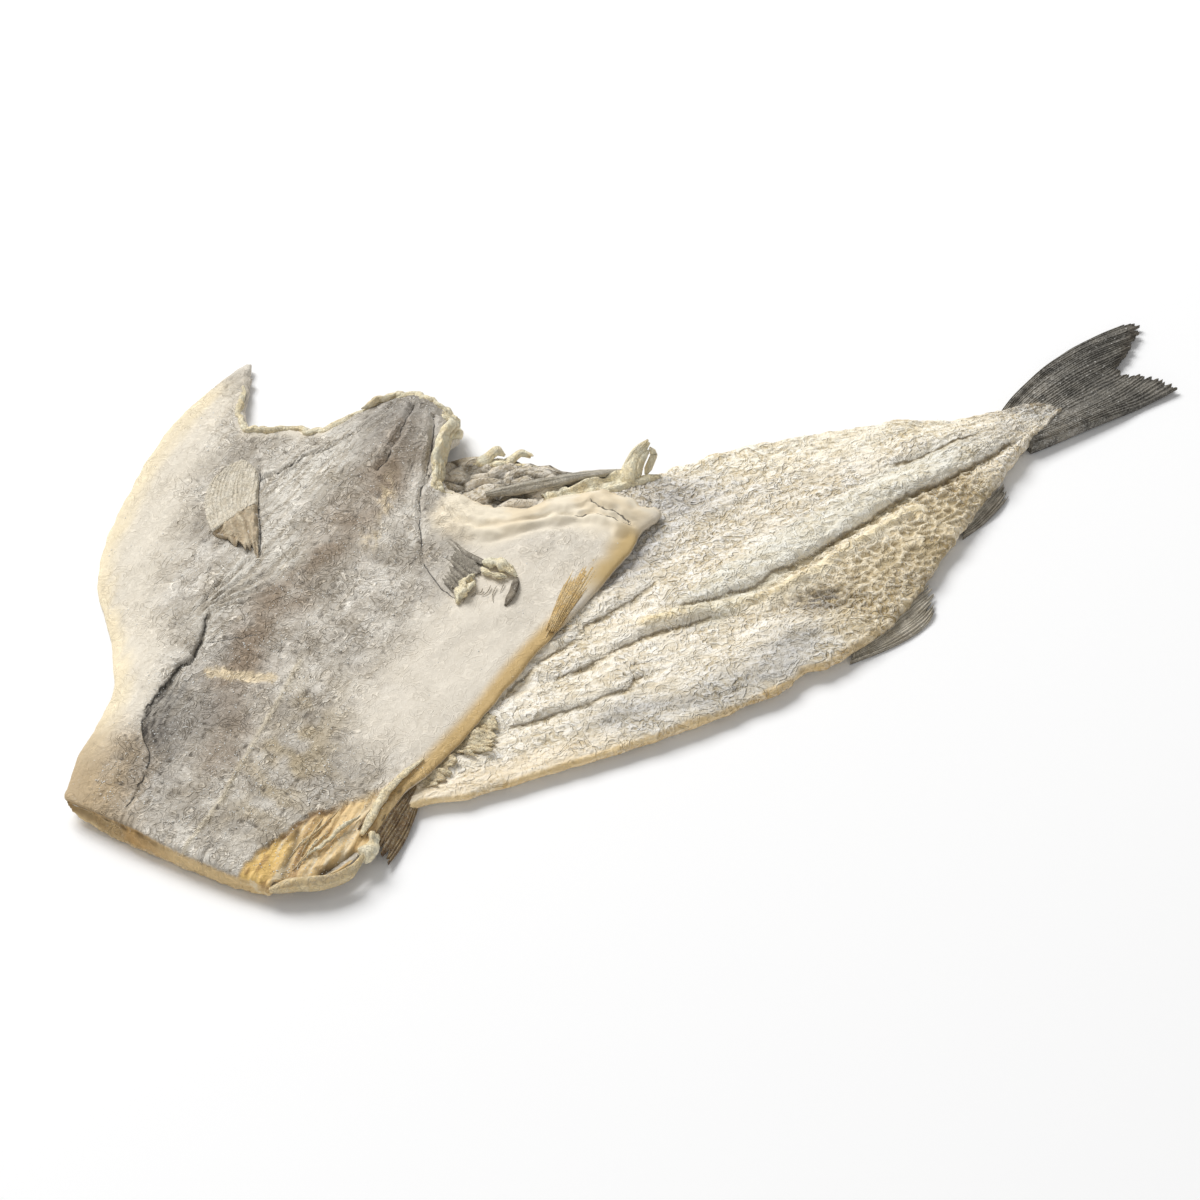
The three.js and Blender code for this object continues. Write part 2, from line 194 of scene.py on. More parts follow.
def tubeShape(path, radius, sides=10, masks=None):
    # round tube: at each place on the path a ring in the plane across it, closed by a point at each end
    path = np.asarray(path, float)
    tangent = np.gradient(path, axis=0)
    tangent /= np.linalg.norm(tangent, axis=1)[:, None]
    across = np.cross(tangent, np.array([0.12, 0.31, 0.94]))
    across /= np.linalg.norm(across, axis=1)[:, None]
    up = np.cross(across, tangent)
    turn = np.linspace(0, 2 * np.pi, sides, endpoint=False)
    radius = np.broadcast_to(np.asarray(radius, float).reshape(len(path), -1), (len(path), sides))
    ring = across[:, None] * np.cos(turn)[None, :, None] + up[:, None] * np.sin(turn)[None, :, None]
    points = path[:, None] + ring * radius[..., None]
    index = np.arange(len(path) * sides).reshape(len(path), sides)
    around = np.roll(index, -1, 1)
    quads = np.stack([index[:-1], around[:-1], around[1:], index[1:]], -1).reshape(-1, 4)
    first, last = len(path) * sides, len(path) * sides + 1
    start = np.stack([np.full(sides, first), around[0], index[0]], -1)
    end = np.stack([np.full(sides, last), index[-1], around[-1]], -1)
    whole = np.concatenate([points.reshape(-1, 3), path[:1], path[-1:]])
    shape = {"points": whole, "quads": quads, "tris": np.concatenate([start, end]), "masks": {}}
    for name, value in (masks or {}).items():
        value = np.broadcast_to(np.asarray(value, float).reshape(-1, 1), (len(path), 1))
        shape["masks"][name] = np.concatenate([np.repeat(value, sides), value[0], value[-1]])
    return shape


def joined(shapes):  # many shapes as one, their indices moved up behind each other
    starts = np.cumsum([0] + [len(shape["points"]) for shape in shapes[:-1]])
    whole = {"points": np.concatenate([shape["points"] for shape in shapes]), "masks": {}}
    for kind in ("quads", "tris"):
        whole[kind] = np.concatenate([shape[kind] + start for shape, start in zip(shapes, starts)])
    for name in shapes[0]["masks"]:
        whole["masks"][name] = np.concatenate([shape["masks"][name] for shape in shapes])
    return whole


def outward(shape):  # turns every face round if the volume inside comes out negative
    points, quads = shape["points"], shape["quads"]
    corners = np.concatenate([shape["tris"], quads[:, :3], quads[:, [0, 2, 3]]])
    a, b, c = points[corners[:, 0]], points[corners[:, 1]], points[corners[:, 2]]
    if np.einsum("ij,ij->i", a, np.cross(b, c)).sum() < 0:
        shape["quads"], shape["tris"] = quads[:, ::-1], shape["tris"][:, ::-1]
    return shape


# A shape in millimetres of the plan becomes an object in metres, its masks point attributes
def makePiece(name, shape, finish):
    shape = outward(shape)
    middle = np.array([plan["boxMiddle"][0], plan["boxMiddle"][1], 0])
    points = (shape["points"] - middle) * plan["metre"]
    loops = np.concatenate([shape["quads"].ravel(), shape["tris"].ravel()])
    counts = np.r_[np.full(len(shape["quads"]), 4), np.full(len(shape["tris"]), 3)]
    mesh = bpy.data.meshes.new(name)
    mesh.vertices.add(len(points))
    mesh.vertices.foreach_set("co", points.astype(np.float32).ravel())
    mesh.loops.add(len(loops))
    mesh.loops.foreach_set("vertex_index", loops.astype(np.int32))
    mesh.polygons.add(len(counts))
    mesh.polygons.foreach_set("loop_start", (np.cumsum(counts) - counts).astype(np.int32))
    mesh.polygons.foreach_set("use_smooth", np.ones(len(counts), bool))
    for key, value in shape["masks"].items():
        layer = mesh.attributes.new(key, "FLOAT", "POINT")
        layer.data.foreach_set("value", np.clip(value, 0, 1).astype(np.float32))
    mesh.update(calc_edges=True)
    mesh.materials.append(finish)
    piece = bpy.data.objects.new(name, mesh)
    bpy.context.scene.collection.objects.link(piece)
    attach(piece, "root")
    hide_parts("cod")
    print("piece", name, "triangles", int((counts - 2).sum()))
    return piece


# Shader expressions: one socket with arithmetic; any other node comes from node()
class Wire:
    def __init__(self, tree, socket=None):
        self.tree, self.socket = tree, socket

    def node(self, kind, settings=None, inputs=None, output=0):
        made = self.tree.nodes.new("ShaderNode" + kind)
        for key, value in (settings or {}).items():
            setattr(made, key, value)
        for key, value in (inputs or {}).items():
            if isinstance(value, Wire):
                self.tree.links.new(value.socket, made.inputs[key])
            else:
                made.inputs[key].default_value = value
        return Wire(self.tree, made.outputs[output])

    def math(self, operation, *values):
        return self.node("Math", {"operation": operation}, dict(enumerate(values)))

    def __add__(self, other):
        return self.math("ADD", self, other)

    def __radd__(self, other):
        return self.math("ADD", other, self)

    def __sub__(self, other):
        return self.math("SUBTRACT", self, other)

    def __rsub__(self, other):
        return self.math("SUBTRACT", other, self)

    def __mul__(self, other):
        return self.math("MULTIPLY", self, other)

    def __rmul__(self, other):
        return self.math("MULTIPLY", other, self)

    def eased(self, start, end):  # eased step from 0 at start to 1 at end
        inputs = {"Value": self, "From Min": start, "From Max": end}
        return self.node("MapRange", {"interpolation_type": "SMOOTHSTEP"}, inputs)

    def mixed(self, first, second, blend="MIX"):  # this value carries one colour into another
        settings = {"data_type": "RGBA", "blend_type": blend}
        return self.node("Mix", settings, {0: self, 6: first, 7: second}, 2)


def paint(red, green, blue):  # display colour in 0 to 255, turned to the shader's linear scale
    channel = np.array([red, green, blue]) / 255
    linear = np.where(channel <= 0.04045, channel / 12.92, ((channel + 0.055) / 1.055) ** 2.4)
    return (*[float(value) for value in linear], 1.0)


def newFinish(name):
    finish = bpy.data.materials.new(name)
    finish.use_nodes = True
    tree = finish.node_tree
    return finish, Wire(tree), tree.nodes["Principled BSDF"]


def plainFinish(name, colour, roughness):  # one colour all over
    finish, shader = newFinish(name)[::2]
    shader.inputs["Base Color"].default_value = colour
    shader.inputs["Roughness"].default_value = roughness
    return finish


def mask(start, name):  # point attribute as a value from 0 to 1
    return start.node("Attribute", {"attribute_name": name}, output=2)


def drawnOut(start, place, stretch, turn):  # coordinates turned about the vertical, then scaled on each axis
    inputs = {"Vector": place, "Angle": math.radians(turn)}
    place = start.node("VectorRotate", {"rotation_type": "Z_AXIS"}, inputs)
    return start.node("VectorMath", {"operation": "MULTIPLY"}, {0: place, 1: stretch})


def grain(start, perMetre, detail=3.0, roughness=0.55, stretch=None, turn=0.0, swirl=0.0):
    # noise on object coordinates, which can be drawn out one way
    place = start.node("TexCoord", output=3)
    if stretch:
        place = drawnOut(start, place, stretch, turn)
    inputs = {"Vector": place, "Scale": perMetre, "Detail": detail, "Roughness": roughness, "Distortion": swirl}
    return start.node("TexNoise", {}, inputs)


def threads(start, perMetre, width, swirl=1.0, shift=0.0):
    # curly lines: high where a swirled noise crosses its middle; a shift moves them to one flank, where the
    # flesh and skin finishes paint a highlight on one side of each curl and shade on the other
    wave = grain(start, perMetre, 1.0, 0.5, swirl=swirl) - (0.5 + shift)
    return 1 - wave.math("ABSOLUTE", wave).eased(0.0, width)


def cellCrease(start, perMetre, width, stretch=(1, 1, 1), turn=0.0):  # thin net between crooked cells
    place = start.node("TexCoord", output=3)
    bent = start.node("TexNoise", {}, {"Vector": place, "Scale": perMetre * 0.8, "Detail": 2.0}, 1)
    bent = start.node("VectorMath", {"operation": "SCALE"}, {0: bent, "Scale": 1.1 / perMetre})
    place = start.node("VectorMath", {"operation": "ADD"}, {0: place, 1: bent})
    place = drawnOut(start, place, stretch, turn)
    cell = start.node("TexVoronoi", {"feature": "DISTANCE_TO_EDGE"}, {"Vector": place, "Scale": perMetre})
    return 1 - cell.eased(0.0, width)


def toned(pattern, colour, low, high, tint=(1.0, 0.97, 0.92)):
    # colour times low where the pattern is 0, warmed by the tint, and times high where it is 1
    dark = tuple(low * value for value in (1.0, *[channel / tint[0] for channel in tint[1:]])) + (1.0,)
    levels = pattern.mixed(dark, (high, high, high, 1.0))
    settings = {"data_type": "RGBA", "blend_type": "MULTIPLY"}
    return levels.node("Mix", settings, {0: 1.0, 6: colour, 7: levels}, 2)


# Dark line painted along each crack and groove: painted shade down in the recess
def crackLine(start, thin, wide):  # crisp line along the nearest crack, from its distance and side
    side = (mask(start, "lineSide") - 0.5) * 20
    near = 1 - (mask(start, "lineGap") * 10).eased(0.8, 1.5)
    return (1 - side.math("ABSOLUTE", side).eased(thin, wide)) * near


# Band beside a groove, where the flesh finish paints shade on the lower side and a highlight on the raised lip
# above
def besideLine(start, reach, above):  # soft band on one side of the nearest crack
    upper = mask(start, "lineSide").eased(0.49, 0.51)
    return (1 - (mask(start, "lineGap") * 10).eased(0.0, reach)) * (upper if above else 1 - upper)


def speckle(start, perMetre, size):  # small round spots: 1 inside a cell point's reach, 0 outside
    place = start.node("TexCoord", output=3)
    cell = start.node("TexVoronoi", {}, {"Vector": place, "Scale": perMetre})
    return 1 - cell.eased(size * 0.6, size)


def setFinish(start, shader, colour, roughness, bump, depth):
    link = start.tree.links.new
    link(colour.socket, shader.inputs["Base Color"])
    link(roughness.socket, shader.inputs["Roughness"])
    lifted = start.node("Bump", {}, {"Strength": 1.0, "Distance": depth, "Height": bump})
    link(lifted.socket, shader.inputs["Normal"])


# Curls of dried fibre drawn on flesh and skin: curls per metre, and how far they swirl
weave = {"curls": 165, "swirl": 1.9, "fleshSmall": 300, "skinSmall": 290}

# Rear half: flesh side up. Places are (along the fish, offset across it) in millimetres
rear = {
    "length": 389.0,
    "near": [(0, -43), (25, -45), (62, -39), (76, -47), (100, -54), (130, -63), (165, -70), (187, -72),
             (198, -69.5), (204, -73), (214, -72), (232, -70), (258, -62), (285, -50), (310, -40), (340, -28),
             (366, -18), (378, -15), (389, -11)],
    "far": [(-2, 34), (0, 35), (40, 54), (100, 80), (160, 104), (215, 117), (238, 113), (247, 100), (252, 84),
            (266, 58), (286, 53), (306, 45), (326, 35), (346, 23), (360, 10), (378, 2), (389, -3)],
    "thickness": [(0, 4.5), (60, 5), (130, 6.5), (210, 8), (290, 9), (345, 8.5), (378, 6.6), (389, 6)],
    "marginLift": 2.0,
    "fineFrom": 66.0,      # rows are fine past this distance, where nothing lies on top
    "fineStep": 0.86,
    "coarseStep": 4.0,
    "columns": 44,         # of the underside; the flesh side has four times as many
    # cream strand
    "ridge": [(300, -25), (273, -27.8), (250, -30), (228, -30), (215, -26), (201, -20), (188, -16)],
    # lines between bundles of flesh: places, depth, width, height of the bundle above (below if negative)
    "grooves": [
        ([(367, -16), (345, -18), (320, -18.4), (305, -17.4), (287, -18.8), (269, -21), (253, -21.5),
          (239, -20.6), (228, -22), (216, -20.2), (205, -16.6), (199.5, -11.5), (199, -8), (202, -5)],
         2.2, 1.6, 1.3),
        ([(215, -35), (209, -29.5), (203, -25.5), (195, -24.6), (187, -20.7), (181, -19.1), (172, -18.2),
          (156, -19.4), (140, -16)], 1.8, 1.4, 1.0),
        ([(221, 1.5), (211, 2.3), (198, 0), (187, -0.7), (176, -1.4), (164, -5.1), (151, -6.6), (137, -10.3),
          (126, -12.4)], 1.3, 1.4, 0.8),
        ([(175, -53), (173, -44), (168, -37.8), (159, -35.3), (153, -38.6), (143, -35.1), (135, -34.5),
          (124, -31.3), (110, -26)], 1.3, 1.4, 0.9),
        ([(182, -40), (175, -34.6), (170, -32.2), (160, -29)], 0.9, 1.2, 0.5),
        ([(203, -4.4), (211, -2.8), (219, -2.2), (239, 0.2), (254, -0.3), (268, -1.2), (286, -0.5),
          (308, -0.7)], 0.6, 1.4, -0.7),
        ([(361, -8), (345, -4), (330, -2), (316, 1)], 0.9, 1.6, 0.5),
    ],
    "tints": {             # by mask: share and display colour, each laid over those before it
        "warm": (0.9, (255, 249, 233)), "tan": (0.85, (238, 224, 194)), "grey": (0.9, (192, 190, 187)),
        "strand": (0.85, (248, 232, 192)), "blue": (0.9, (200, 199, 201)), "belly": (0.85, (244, 230, 205)),
        "lining": (0.97, (220, 211, 196)), "edge": (0.85, (236, 208, 154)), "bundle": (0.6, (231, 230, 219)),
        "bruise": (0.95, (92, 82, 76)),
    },
}
rearNear, rearFar, rearThick = (curveThrough(rear[key]) for key in ("near", "far", "thickness"))
rim = {"sideShare": 0.1, "endShare": 0.035, "bluntness": 0.35, "thinning": 0.4}


def crown(side):  # thickness share across the fish: 1 in the middle, thinner to the margins
    return 1 - rim["thinning"] * np.abs(side) ** 2.5


def rounded(place, width):  # quarter-circle fall to a blunt rim over the last width
    k = np.clip((np.abs(place) - (1 - width)) / width, 0, 1)
    return rim["bluntness"] + (1 - rim["bluntness"]) * np.sqrt(1 - k * k)


def rearUnder(side):  # height of the underside: flat in the middle, lifted toward both margins
    return rear["marginLift"] * smooth(0.55, 1, np.abs(side))


# Masks of the rear half: products of eased steps and bells of (along, offset),
# their borders moved by a wandering noise
def fleshMasks(along, offset):
    wander = 6 * layeredNoise(along / 22, offset / 22, 31, 2)
    a, b = along + wander, offset + 0.7 * wander
    far, near = rearFar(along), rearNear(along)
    spine = curveThrough([(200, -28), (250, -21), (300, -17), (366, -14)])
    tan = smooth(208, 236, a) * (1 - smooth(322, 350, a)) * smooth(-1, 3, spine(along) - offset)
    lining = smooth(58, 66, offset + 0.5 * (along - 250)) * (1 - smooth(262, 270, a)) * smooth(44, 54, offset)
    lining = np.maximum(lining, smooth(60, 72, offset) * (1 - smooth(264, 270, along)))
    blue = bell(a - 258, 17) * bell(b - 38, 17)
    blue = np.maximum(blue, bell(lineDistance(a, b, [(200, 13), (222, 20), (244, 33)]), 9))
    grey = bell(lineDistance(a, b, [(136, -50), (152, -55), (170, -59), (188, -62), (208, -59)]), 10)
    grey = np.maximum(grey, 0.5 * bell(lineDistance(a, b, [(330, -4), (366, -11)]), 7))
    bruise = bell(along - 233 + 0.3 * wander, 12) * bell(offset + 43, 8)
    bruise = bruise * smooth(-0.6, 0.2, softNoise(along / 3, offset / 3, 5))
    warm = smooth(36, 10, far - offset) * smooth(262, 284, along) * (1 - smooth(352, 372, along))
    warm = np.maximum(warm, 0.8 * smooth(9, 2, offset - near) * smooth(150, 90, along))
    belly = smooth(16, 9, offset - near) * smooth(140, 105, along + wander)
    edge = smooth(2.4, 0.7, offset - near + 0.15 * wander) * (1 - 0.8 * smooth(205, 240, along))
    edge = edge + 0.25 * smooth(3, 1, far - offset)
    strand = bell(lineDistance(along, offset + 0.25 * wander, rear["ridge"]), 3.4)
    above = offset + 0.2 * wander - spine(along)
    bundle = smooth(-5, 0, above) * (1 - smooth(12, 18, above))
    bundle = bundle * smooth(193, 206, along) * (1 - smooth(330, 360, along))
    grey = np.maximum(grey, 0.9 * smooth(370, 384, along + 0.5 * wander))
    tan = tan * (1 - 0.8 * strand)
    return {"strand": strand, "tan": tan, "lining": lining, "blue": blue, "grey": grey, "bruise": bruise,
            "warm": warm, "belly": belly, "edge": edge, "bundle": bundle}


# Fine relief of the flesh: one bundle overlaps the next along each groove, curly fibres between,
# open comb where it is tan, folds in the lining
def fleshRelief(along, offset, masks):
    height = np.zeros(np.shape(along))
    wobble = 1.5 * layeredNoise(along / 9, offset / 9, 11, 2)
    pairs = []
    for points, depth, width, lip in rear["grooves"]:
        crooked = offset + 0.45 * wobble + 0.35 * softNoise(along / 3, offset / 3, 13)
        gap, side = lineSide(along, crooked, points)
        low, high = min(points)[0] - 4, max(points)[0]
        fade = smooth(low, low + 10, along) * (1 - smooth(high - 14, high, along))
        fade = fade * (0.88 + 0.12 * smooth(-0.3, 0.2, softNoise(along / 16, offset / 40, 14)))
        upper = smooth(-0.5, 0.5, side)
        bundle = np.sqrt(np.clip(gap / 3, 0, 1)) * smooth(17, 5, gap)
        raised = upper if lip > 0 else 1 - upper
        sunk = (1 - raised) * 0.5 * depth * bell(gap, 1.3 * width)
        height += fade * (1.6 * abs(lip) * raised * bundle - sunk)
        pairs.append((gap + 6 * (1 - fade) + (0 if lip > 0 else 0.7), side if lip > 0 else -side))
    calm = 1 - 0.4 * masks["belly"]
    fibre = threadNoise(along / 4.4, offset / 3.6, 3) * 0.5 + threadNoise(along / 2.7, offset / 2.3, 4) * 0.3
    fibre -= 0.35 * smooth(0.1, 0.6, -softNoise(along / 3.1, offset / 2.7, 6))
    near, second = cellNoise(along / 5.0 + 0.3 * wobble, offset / 4.0, 9)
    comb = 1.5 * bell(second - near, 0.2) - 0.8
    height += masks["strand"] * (1.6 + 0.8 * layeredNoise(along / 5, offset / 4, 15, 2))
    bulk = 0.8 * layeredNoise(along / 26, offset / 13, 12, 3)
    bulk = bulk + 0.9 * np.abs(softNoise(along / 70, offset / 9 + along / 90, 16))
    loose = np.clip(masks["tan"] + 0.5 * masks["blue"] + 0.4 * masks["grey"], 0, 1)
    height += calm * (lerp(fibre, comb + 0.6 * fibre, 0.85 * loose) + bulk - 0.7 * masks["tan"])
    bend = softNoise(along / 14, offset / 14, 21)
    sway = 0.5 * softNoise(along / 9, offset / 9, 24)
    near, second = cellNoise(along / 13 + 0.5 * bend + offset / 40, offset / 7.5 + sway, 22)
    folds = 3.4 * np.sqrt(np.clip((second - near) / 0.55, 0, 1))
    folds = folds + 0.8 * layeredNoise(along / 7, offset / 4, 23, 3) - 1.9
    height = lerp(height, folds + 0.3 * fibre, masks["lining"])
    lineGap, side = nearestLine(pairs)
    return height, lineGap + masks["lining"], side


# Rear half at a distance along and a share across: margins from the two curves and a fraying noise,
# top and underside half the thickness off the middle, falling as a quarter circle to the rim;
# fine adds relief and masks
def rearSurface(along, across, fine=True):
    side = 2 * across - 1
    fray = layeredNoise(along / 11, across * 3, 41, 4) * smooth(40, 90, along)
    near = rearNear(along) + 1.1 * fray
    far = rearFar(along) + 1.3 * layeredNoise(along / 9, across * 3 + 5, 42, 3)
    offset = lerp(near, far, across)
    x, y = planPoint(rearLine, along, offset)
    full = rearThick(along) * crown(side)
    share = rounded(side, rim["sideShare"])
    middle = rearUnder(side) + full / 2
    spot = {"x": x, "y": y, "along": along, "offset": offset, "under": middle - full / 2 * share}
    spot["top"] = middle + full / 2 * share
    if fine:
        spot["masks"] = fleshMasks(along, offset)
        relief, lineGap, side = fleshRelief(along, offset, spot["masks"])
        spot["top"] = spot["top"] + relief * share * smooth(40, 75, along)
        spot["masks"].update(lineGap=lineGap, lineSide=side, height=smooth(-1.3, 1.4, relief))
    return spot


# Flesh: tints by mask, then painted shade multiplied in at the creases, on the curls' lower flanks, in low
# places and in the gaps between curls, painted highlights on raised tan strands and on the small curls' upper
# flanks, painted shade below each groove with a painted highlight on the lip above and a dark line of painted
# shade in it, salt
def fleshFinish():
    finish, start, shader = newFinish("fleshFinish")
    broad, patch, fine = grain(start, 90), grain(start, 45, 2), grain(start, 1000, 2)
    fibres = grain(start, 360, 2, stretch=(0.22, 1, 1), turn=14)
    curls = threads(start, weave["curls"], 0.17, weave["swirl"], 0.02)
    under = threads(start, weave["curls"], 0.06, weave["swirl"], -0.1)
    small = threads(start, weave["fleshSmall"], 0.12, 1.5, 0.03)
    smallUnder = threads(start, weave["fleshSmall"], 0.08, 1.5, -0.08)
    creases = cellCrease(start, 270, 0.12, (0.5, 1, 1), 12)
    height, tan, lining, warm = (mask(start, name) for name in ("height", "tan", "lining", "warm"))
    tangled = tan + 0.6 * mask(start, "grey") + 0.7 * mask(start, "blue")
    bare = 1 - mask(start, "belly") * 0.45
    rough = (0.35 + 0.65 * patch.eased(0.4, 0.6)) * (1 - 0.45 * mask(start, "bundle"))
    tangle, shade = bare * (0.3 + 0.7 * rough), (1.0, 0.95, 0.84)
    colour = broad.eased(0.35, 0.65).mixed(paint(243, 236, 221), paint(251, 246, 236))
    for name, (share, tint) in rear["tints"].items():
        colour = (mask(start, name) * share).mixed(colour, paint(*tint))
    # painted shade in the creases between the cells
    colour = toned(1 - creases * bare * rough, colour, 0.88, 1.0, shade)
    # painted shade on the lower flank of each curl and of each small curl
    gapShade = under * bare * (0.2 + 0.7 * rough) * (1 - 0.6 * tan)
    colour = toned(1 - gapShade, colour, 0.81, 1.02, (1.0, 0.96, 0.86))
    colour = toned(1 - smallUnder * bare * rough, colour, 0.88, 1.02, (1.0, 0.96, 0.88))
    # painted shade in the low places of the lining's folds
    colour = toned(height.eased(0.1, 0.75) + (1 - lining), colour, 0.4, 1.0)
    colour = toned(fibres.eased(0.35, 0.6), colour, 0.92, 1.04, (1.0, 0.96, 0.88))
    # painted shade in the hollows where the flesh is tangled
    colour = toned(height.eased(0.05, 0.5) + (1 - tangled) * 0.6, colour, 0.65, 1.04, (1.0, 0.94, 0.8))
    # painted shade in the gaps between the curls
    gapShade = (1 - curls) * tangle * (1 - 0.8 * lining) * (1 - 0.4 * warm)
    colour = toned(1 - gapShade, colour, 0.85, 1.02, shade)
    # painted highlight on the raised strands of the tan comb
    colour = (height.eased(0.62, 0.8) * tan * 0.6).mixed(colour, paint(252, 244, 224))
    # painted highlight on the upper flank of each small curl
    colour = (small * rough * 0.3 * bare).mixed(colour, paint(253, 250, 243))
    # painted shade below each groove and a painted highlight on the lip above it
    colour = toned(1 - besideLine(start, 3.0, False), colour, 0.9, 1.0, shade)
    colour = (besideLine(start, 5.0, True) * 0.4).mixed(colour, paint(252, 248, 238))
    # dark line of painted shade down in each groove
    colour = (crackLine(start, 0.12, 0.6) * 0.7).mixed(colour, paint(116, 98, 68))
    colour = (fine.eased(0.62, 0.74) * 0.35).mixed(colour, paint(255, 254, 250))
    bump = 1.1 * curls * (0.3 + 0.7 * rough) - 0.3 * under + 0.3 * small
    bump = bump - 0.4 * creases * rough + 0.6 * fibres + 0.12 * fine
    bump = bump * (0.3 + 0.7 * bare) * (1 - 0.3 * warm)
    setFinish(start, shader, colour, 0.75 + 0.15 * fine, bump, 0.00043)
    return finish


def makeRear():
    fineRows = np.arange(rear["length"], rear["fineFrom"], -rear["fineStep"])
    coarseRows = np.arange(rear["fineFrom"], -1.5, -rear["coarseStep"])
    along = np.r_[fineRows, coarseRows][:, None]
    w, v = np.linspace(0, 1, 4 * rear["columns"] + 1), np.linspace(0, 1, rear["columns"] + 1)
    top = rearSurface(along + 0 * w, w + 0 * along)
    bottom = rearSurface(along + 0 * v, v + 0 * along, False)
    masks = {key: (value, (0.9 if key == "edge" else 0.5) * value[:, ::4])
             for key, value in top["masks"].items()}
    masks["lineGap"] = (top["masks"]["lineGap"], 1.0)
    upper = np.stack([top["x"], top["y"], top["top"]], -1)
    lower = np.stack([bottom["x"], bottom["y"], np.maximum(bottom["under"], 0.05)], -1)
    return makePiece("rearFlesh", sheetShape(upper, lower, masks), fleshFinish())


# Front half: skin side up, folded over the rear half
front = {
    "near": [(0, -43), (8, -55), (18, -62), (30, -64), (56, -65), (70, -69), (100, -74), (140, -79),
             (180, -86), (225, -90)],
    "far": [(0, 41), (20, 46), (48, 50), (62, 57), (78, 68), (98, 85), (120, 94), (145, 99),
            (180, 103), (205, 101), (234, 94)],
    "napeSpan": (-90, 94),
    "nape": [(-90, 224), (-72, 224), (-60, 216), (-46, 199), (-34, 195), (-18, 197), (-8, 213), (-1, 233),
             (8, 239), (20, 242), (32, 232), (42, 212), (52, 209), (60, 203), (67, 200), (73, 204),
             (80, 217), (94, 234)],
    "thickness": [(0, 4.5), (60, 5), (130, 5.5), (190, 6.5), (238, 6)],
    "bendGap": 1.8, "restGap": 1.3, "droopSpan": 46.0, "farMarginHeight": 0.4, "bendSquareness": 0.8,
    "hump": {"along": 226, "offset": 17, "length": 38, "width": 20, "height": 8.0},
    "collar": {"inset": 8, "width": 8, "height": 1.8, "near": -88, "far": -14},
    "bendRows": 26, "rows": 285,
    "columns": 52,          # of the underside; the skin side has four times as many
    "creamMargin": [(0, 10), (20, 11), (40, 14), (60, 18), (90, 26), (130, 28), (180, 22), (232, 18)],
    "crack": [(-9, 15.5), (5, 17), (17, 18.7), (23, 19.8), (29, 22.5), (33, 27), (38, 31), (47, 34.4), (58, 34),
              (70, 32.6), (77, 31.2), (86, 33), (96, 35.8)],
    "cracks": [             # further cracks in the skin: points, depth, width
        ([(200, 39), (187, 45), (180, 50), (173, 54)], 0.8, 0.7),
        ([(198, -6), (189, -6), (172, -14), (156, -24), (148, -35), (146, -42)], 0.9, 0.8),
        ([(230, 18), (224, 16.3), (212, 13.2), (199, 11.7), (189, 12.4)], 1.7, 1.0),
        ([(228, 8), (222, 4.5), (210, -0.4), (197, -4.6)], 1.5, 1.0),
        ([(228, 26), (216, 29), (207, 32), (197, 37), (190, 44)], 1.2, 0.9),
        ([(172, 57), (176.6, 50.6), (186.3, 47.5), (194, 46)], 0.9, 0.8),
        ([(202, -59), (205, -63), (208.7, -69), (210, -76), (211, -84)], 1.1, 0.9),
        ([(213.6, -66), (212.5, -71), (213, -77), (212.4, -82.5)], 0.8, 0.6),
        ([(95, 43.5), (99, 42.2), (104, 41.4), (109, 41), (117, 40.7)], 0.9, 0.8),
        ([(178, 58), (171, 55), (158, 48.2), (144.4, 39.6), (131, 32.6)], 1.3, 0.8),
        ([(84, 29), (92, 20), (100, 12)], 0.4, 0.6),
    ],
    "slot": [(11, -56), (18, -59.5), (25, -62)],
    "crease": [(23, -40.6), (17, -42.6), (10, -44), (2, -45.7)],
    "paleLine": [(92, -5), (73, -7), (61, -7.4), (47, -8.9), (34, -9.8), (21, -11.5), (8, -10.8), (-7, -9.6)],
    "brownBand": [(203, 8), (183, 8), (170, 10), (147, 13), (125, 16), (103, 18), (68, 9)],
    "bar": [(72, 21.7), (74, 16.5), (76, 9), (80, 1)],      # pale scar
    "tear": [(-6, -30.5), (7, -33.5), (19, -37.5), (28, -40), (36, -45), (44, -49), (52, -54), (60, -60),
             (70, -72)],
    "pleatApex": (94, 42), "pleatCount": 42,
    "tints": {              # by mask: share and display colour, each laid over those before it
        "olive": (0.85, (186, 170, 138)), "grey": (0.85, (150, 144, 136)), "brown": (0.9, (146, 127, 105)),
        "streaky": (0.75, (220, 215, 204)), "spots": (0.85, (226, 208, 174)), "pale": (0.9, (233, 224, 208)),
        "cream": (0.95, (228, 219, 202)), "lemon": (0.7, (243, 226, 188)), "honey": (0.9, (182, 158, 120)),
        "collar": (0.95, (241, 229, 205)), "yellow": (0.9, (212, 178, 114)), "amber": (0.85, (208, 176, 110)),
        "window": (0.9, (232, 200, 142)), "gold": (0.8, (232, 194, 112)), "seam": (0.8, (210, 199, 176)),
        "band": (0.95, (190, 153, 96)), "lipPale": (0.85, (232, 207, 158)),
    },
}
frontNear, frontFar, frontThick = (curveThrough(front[key]) for key in ("near", "far", "thickness"))
napeEdge, creamWidth = curveThrough(front["nape"]), curveThrough(front["creamMargin"])


def support(x, y):
    # what the front half lies on: the rear half, falling to the ground past its far edge
    along, offset = planMeasures(rearLine, x, y)
    near, far = rearNear(along), rearFar(along)
    side = np.clip(2 * (offset - near) / (far - near) - 1, -1, 1)
    height = rearUnder(side) + rearThick(along) * crown(side) + front["restGap"]
    return lerp(height, front["farMarginHeight"], smooth(0, front["droopSpan"], offset - far))


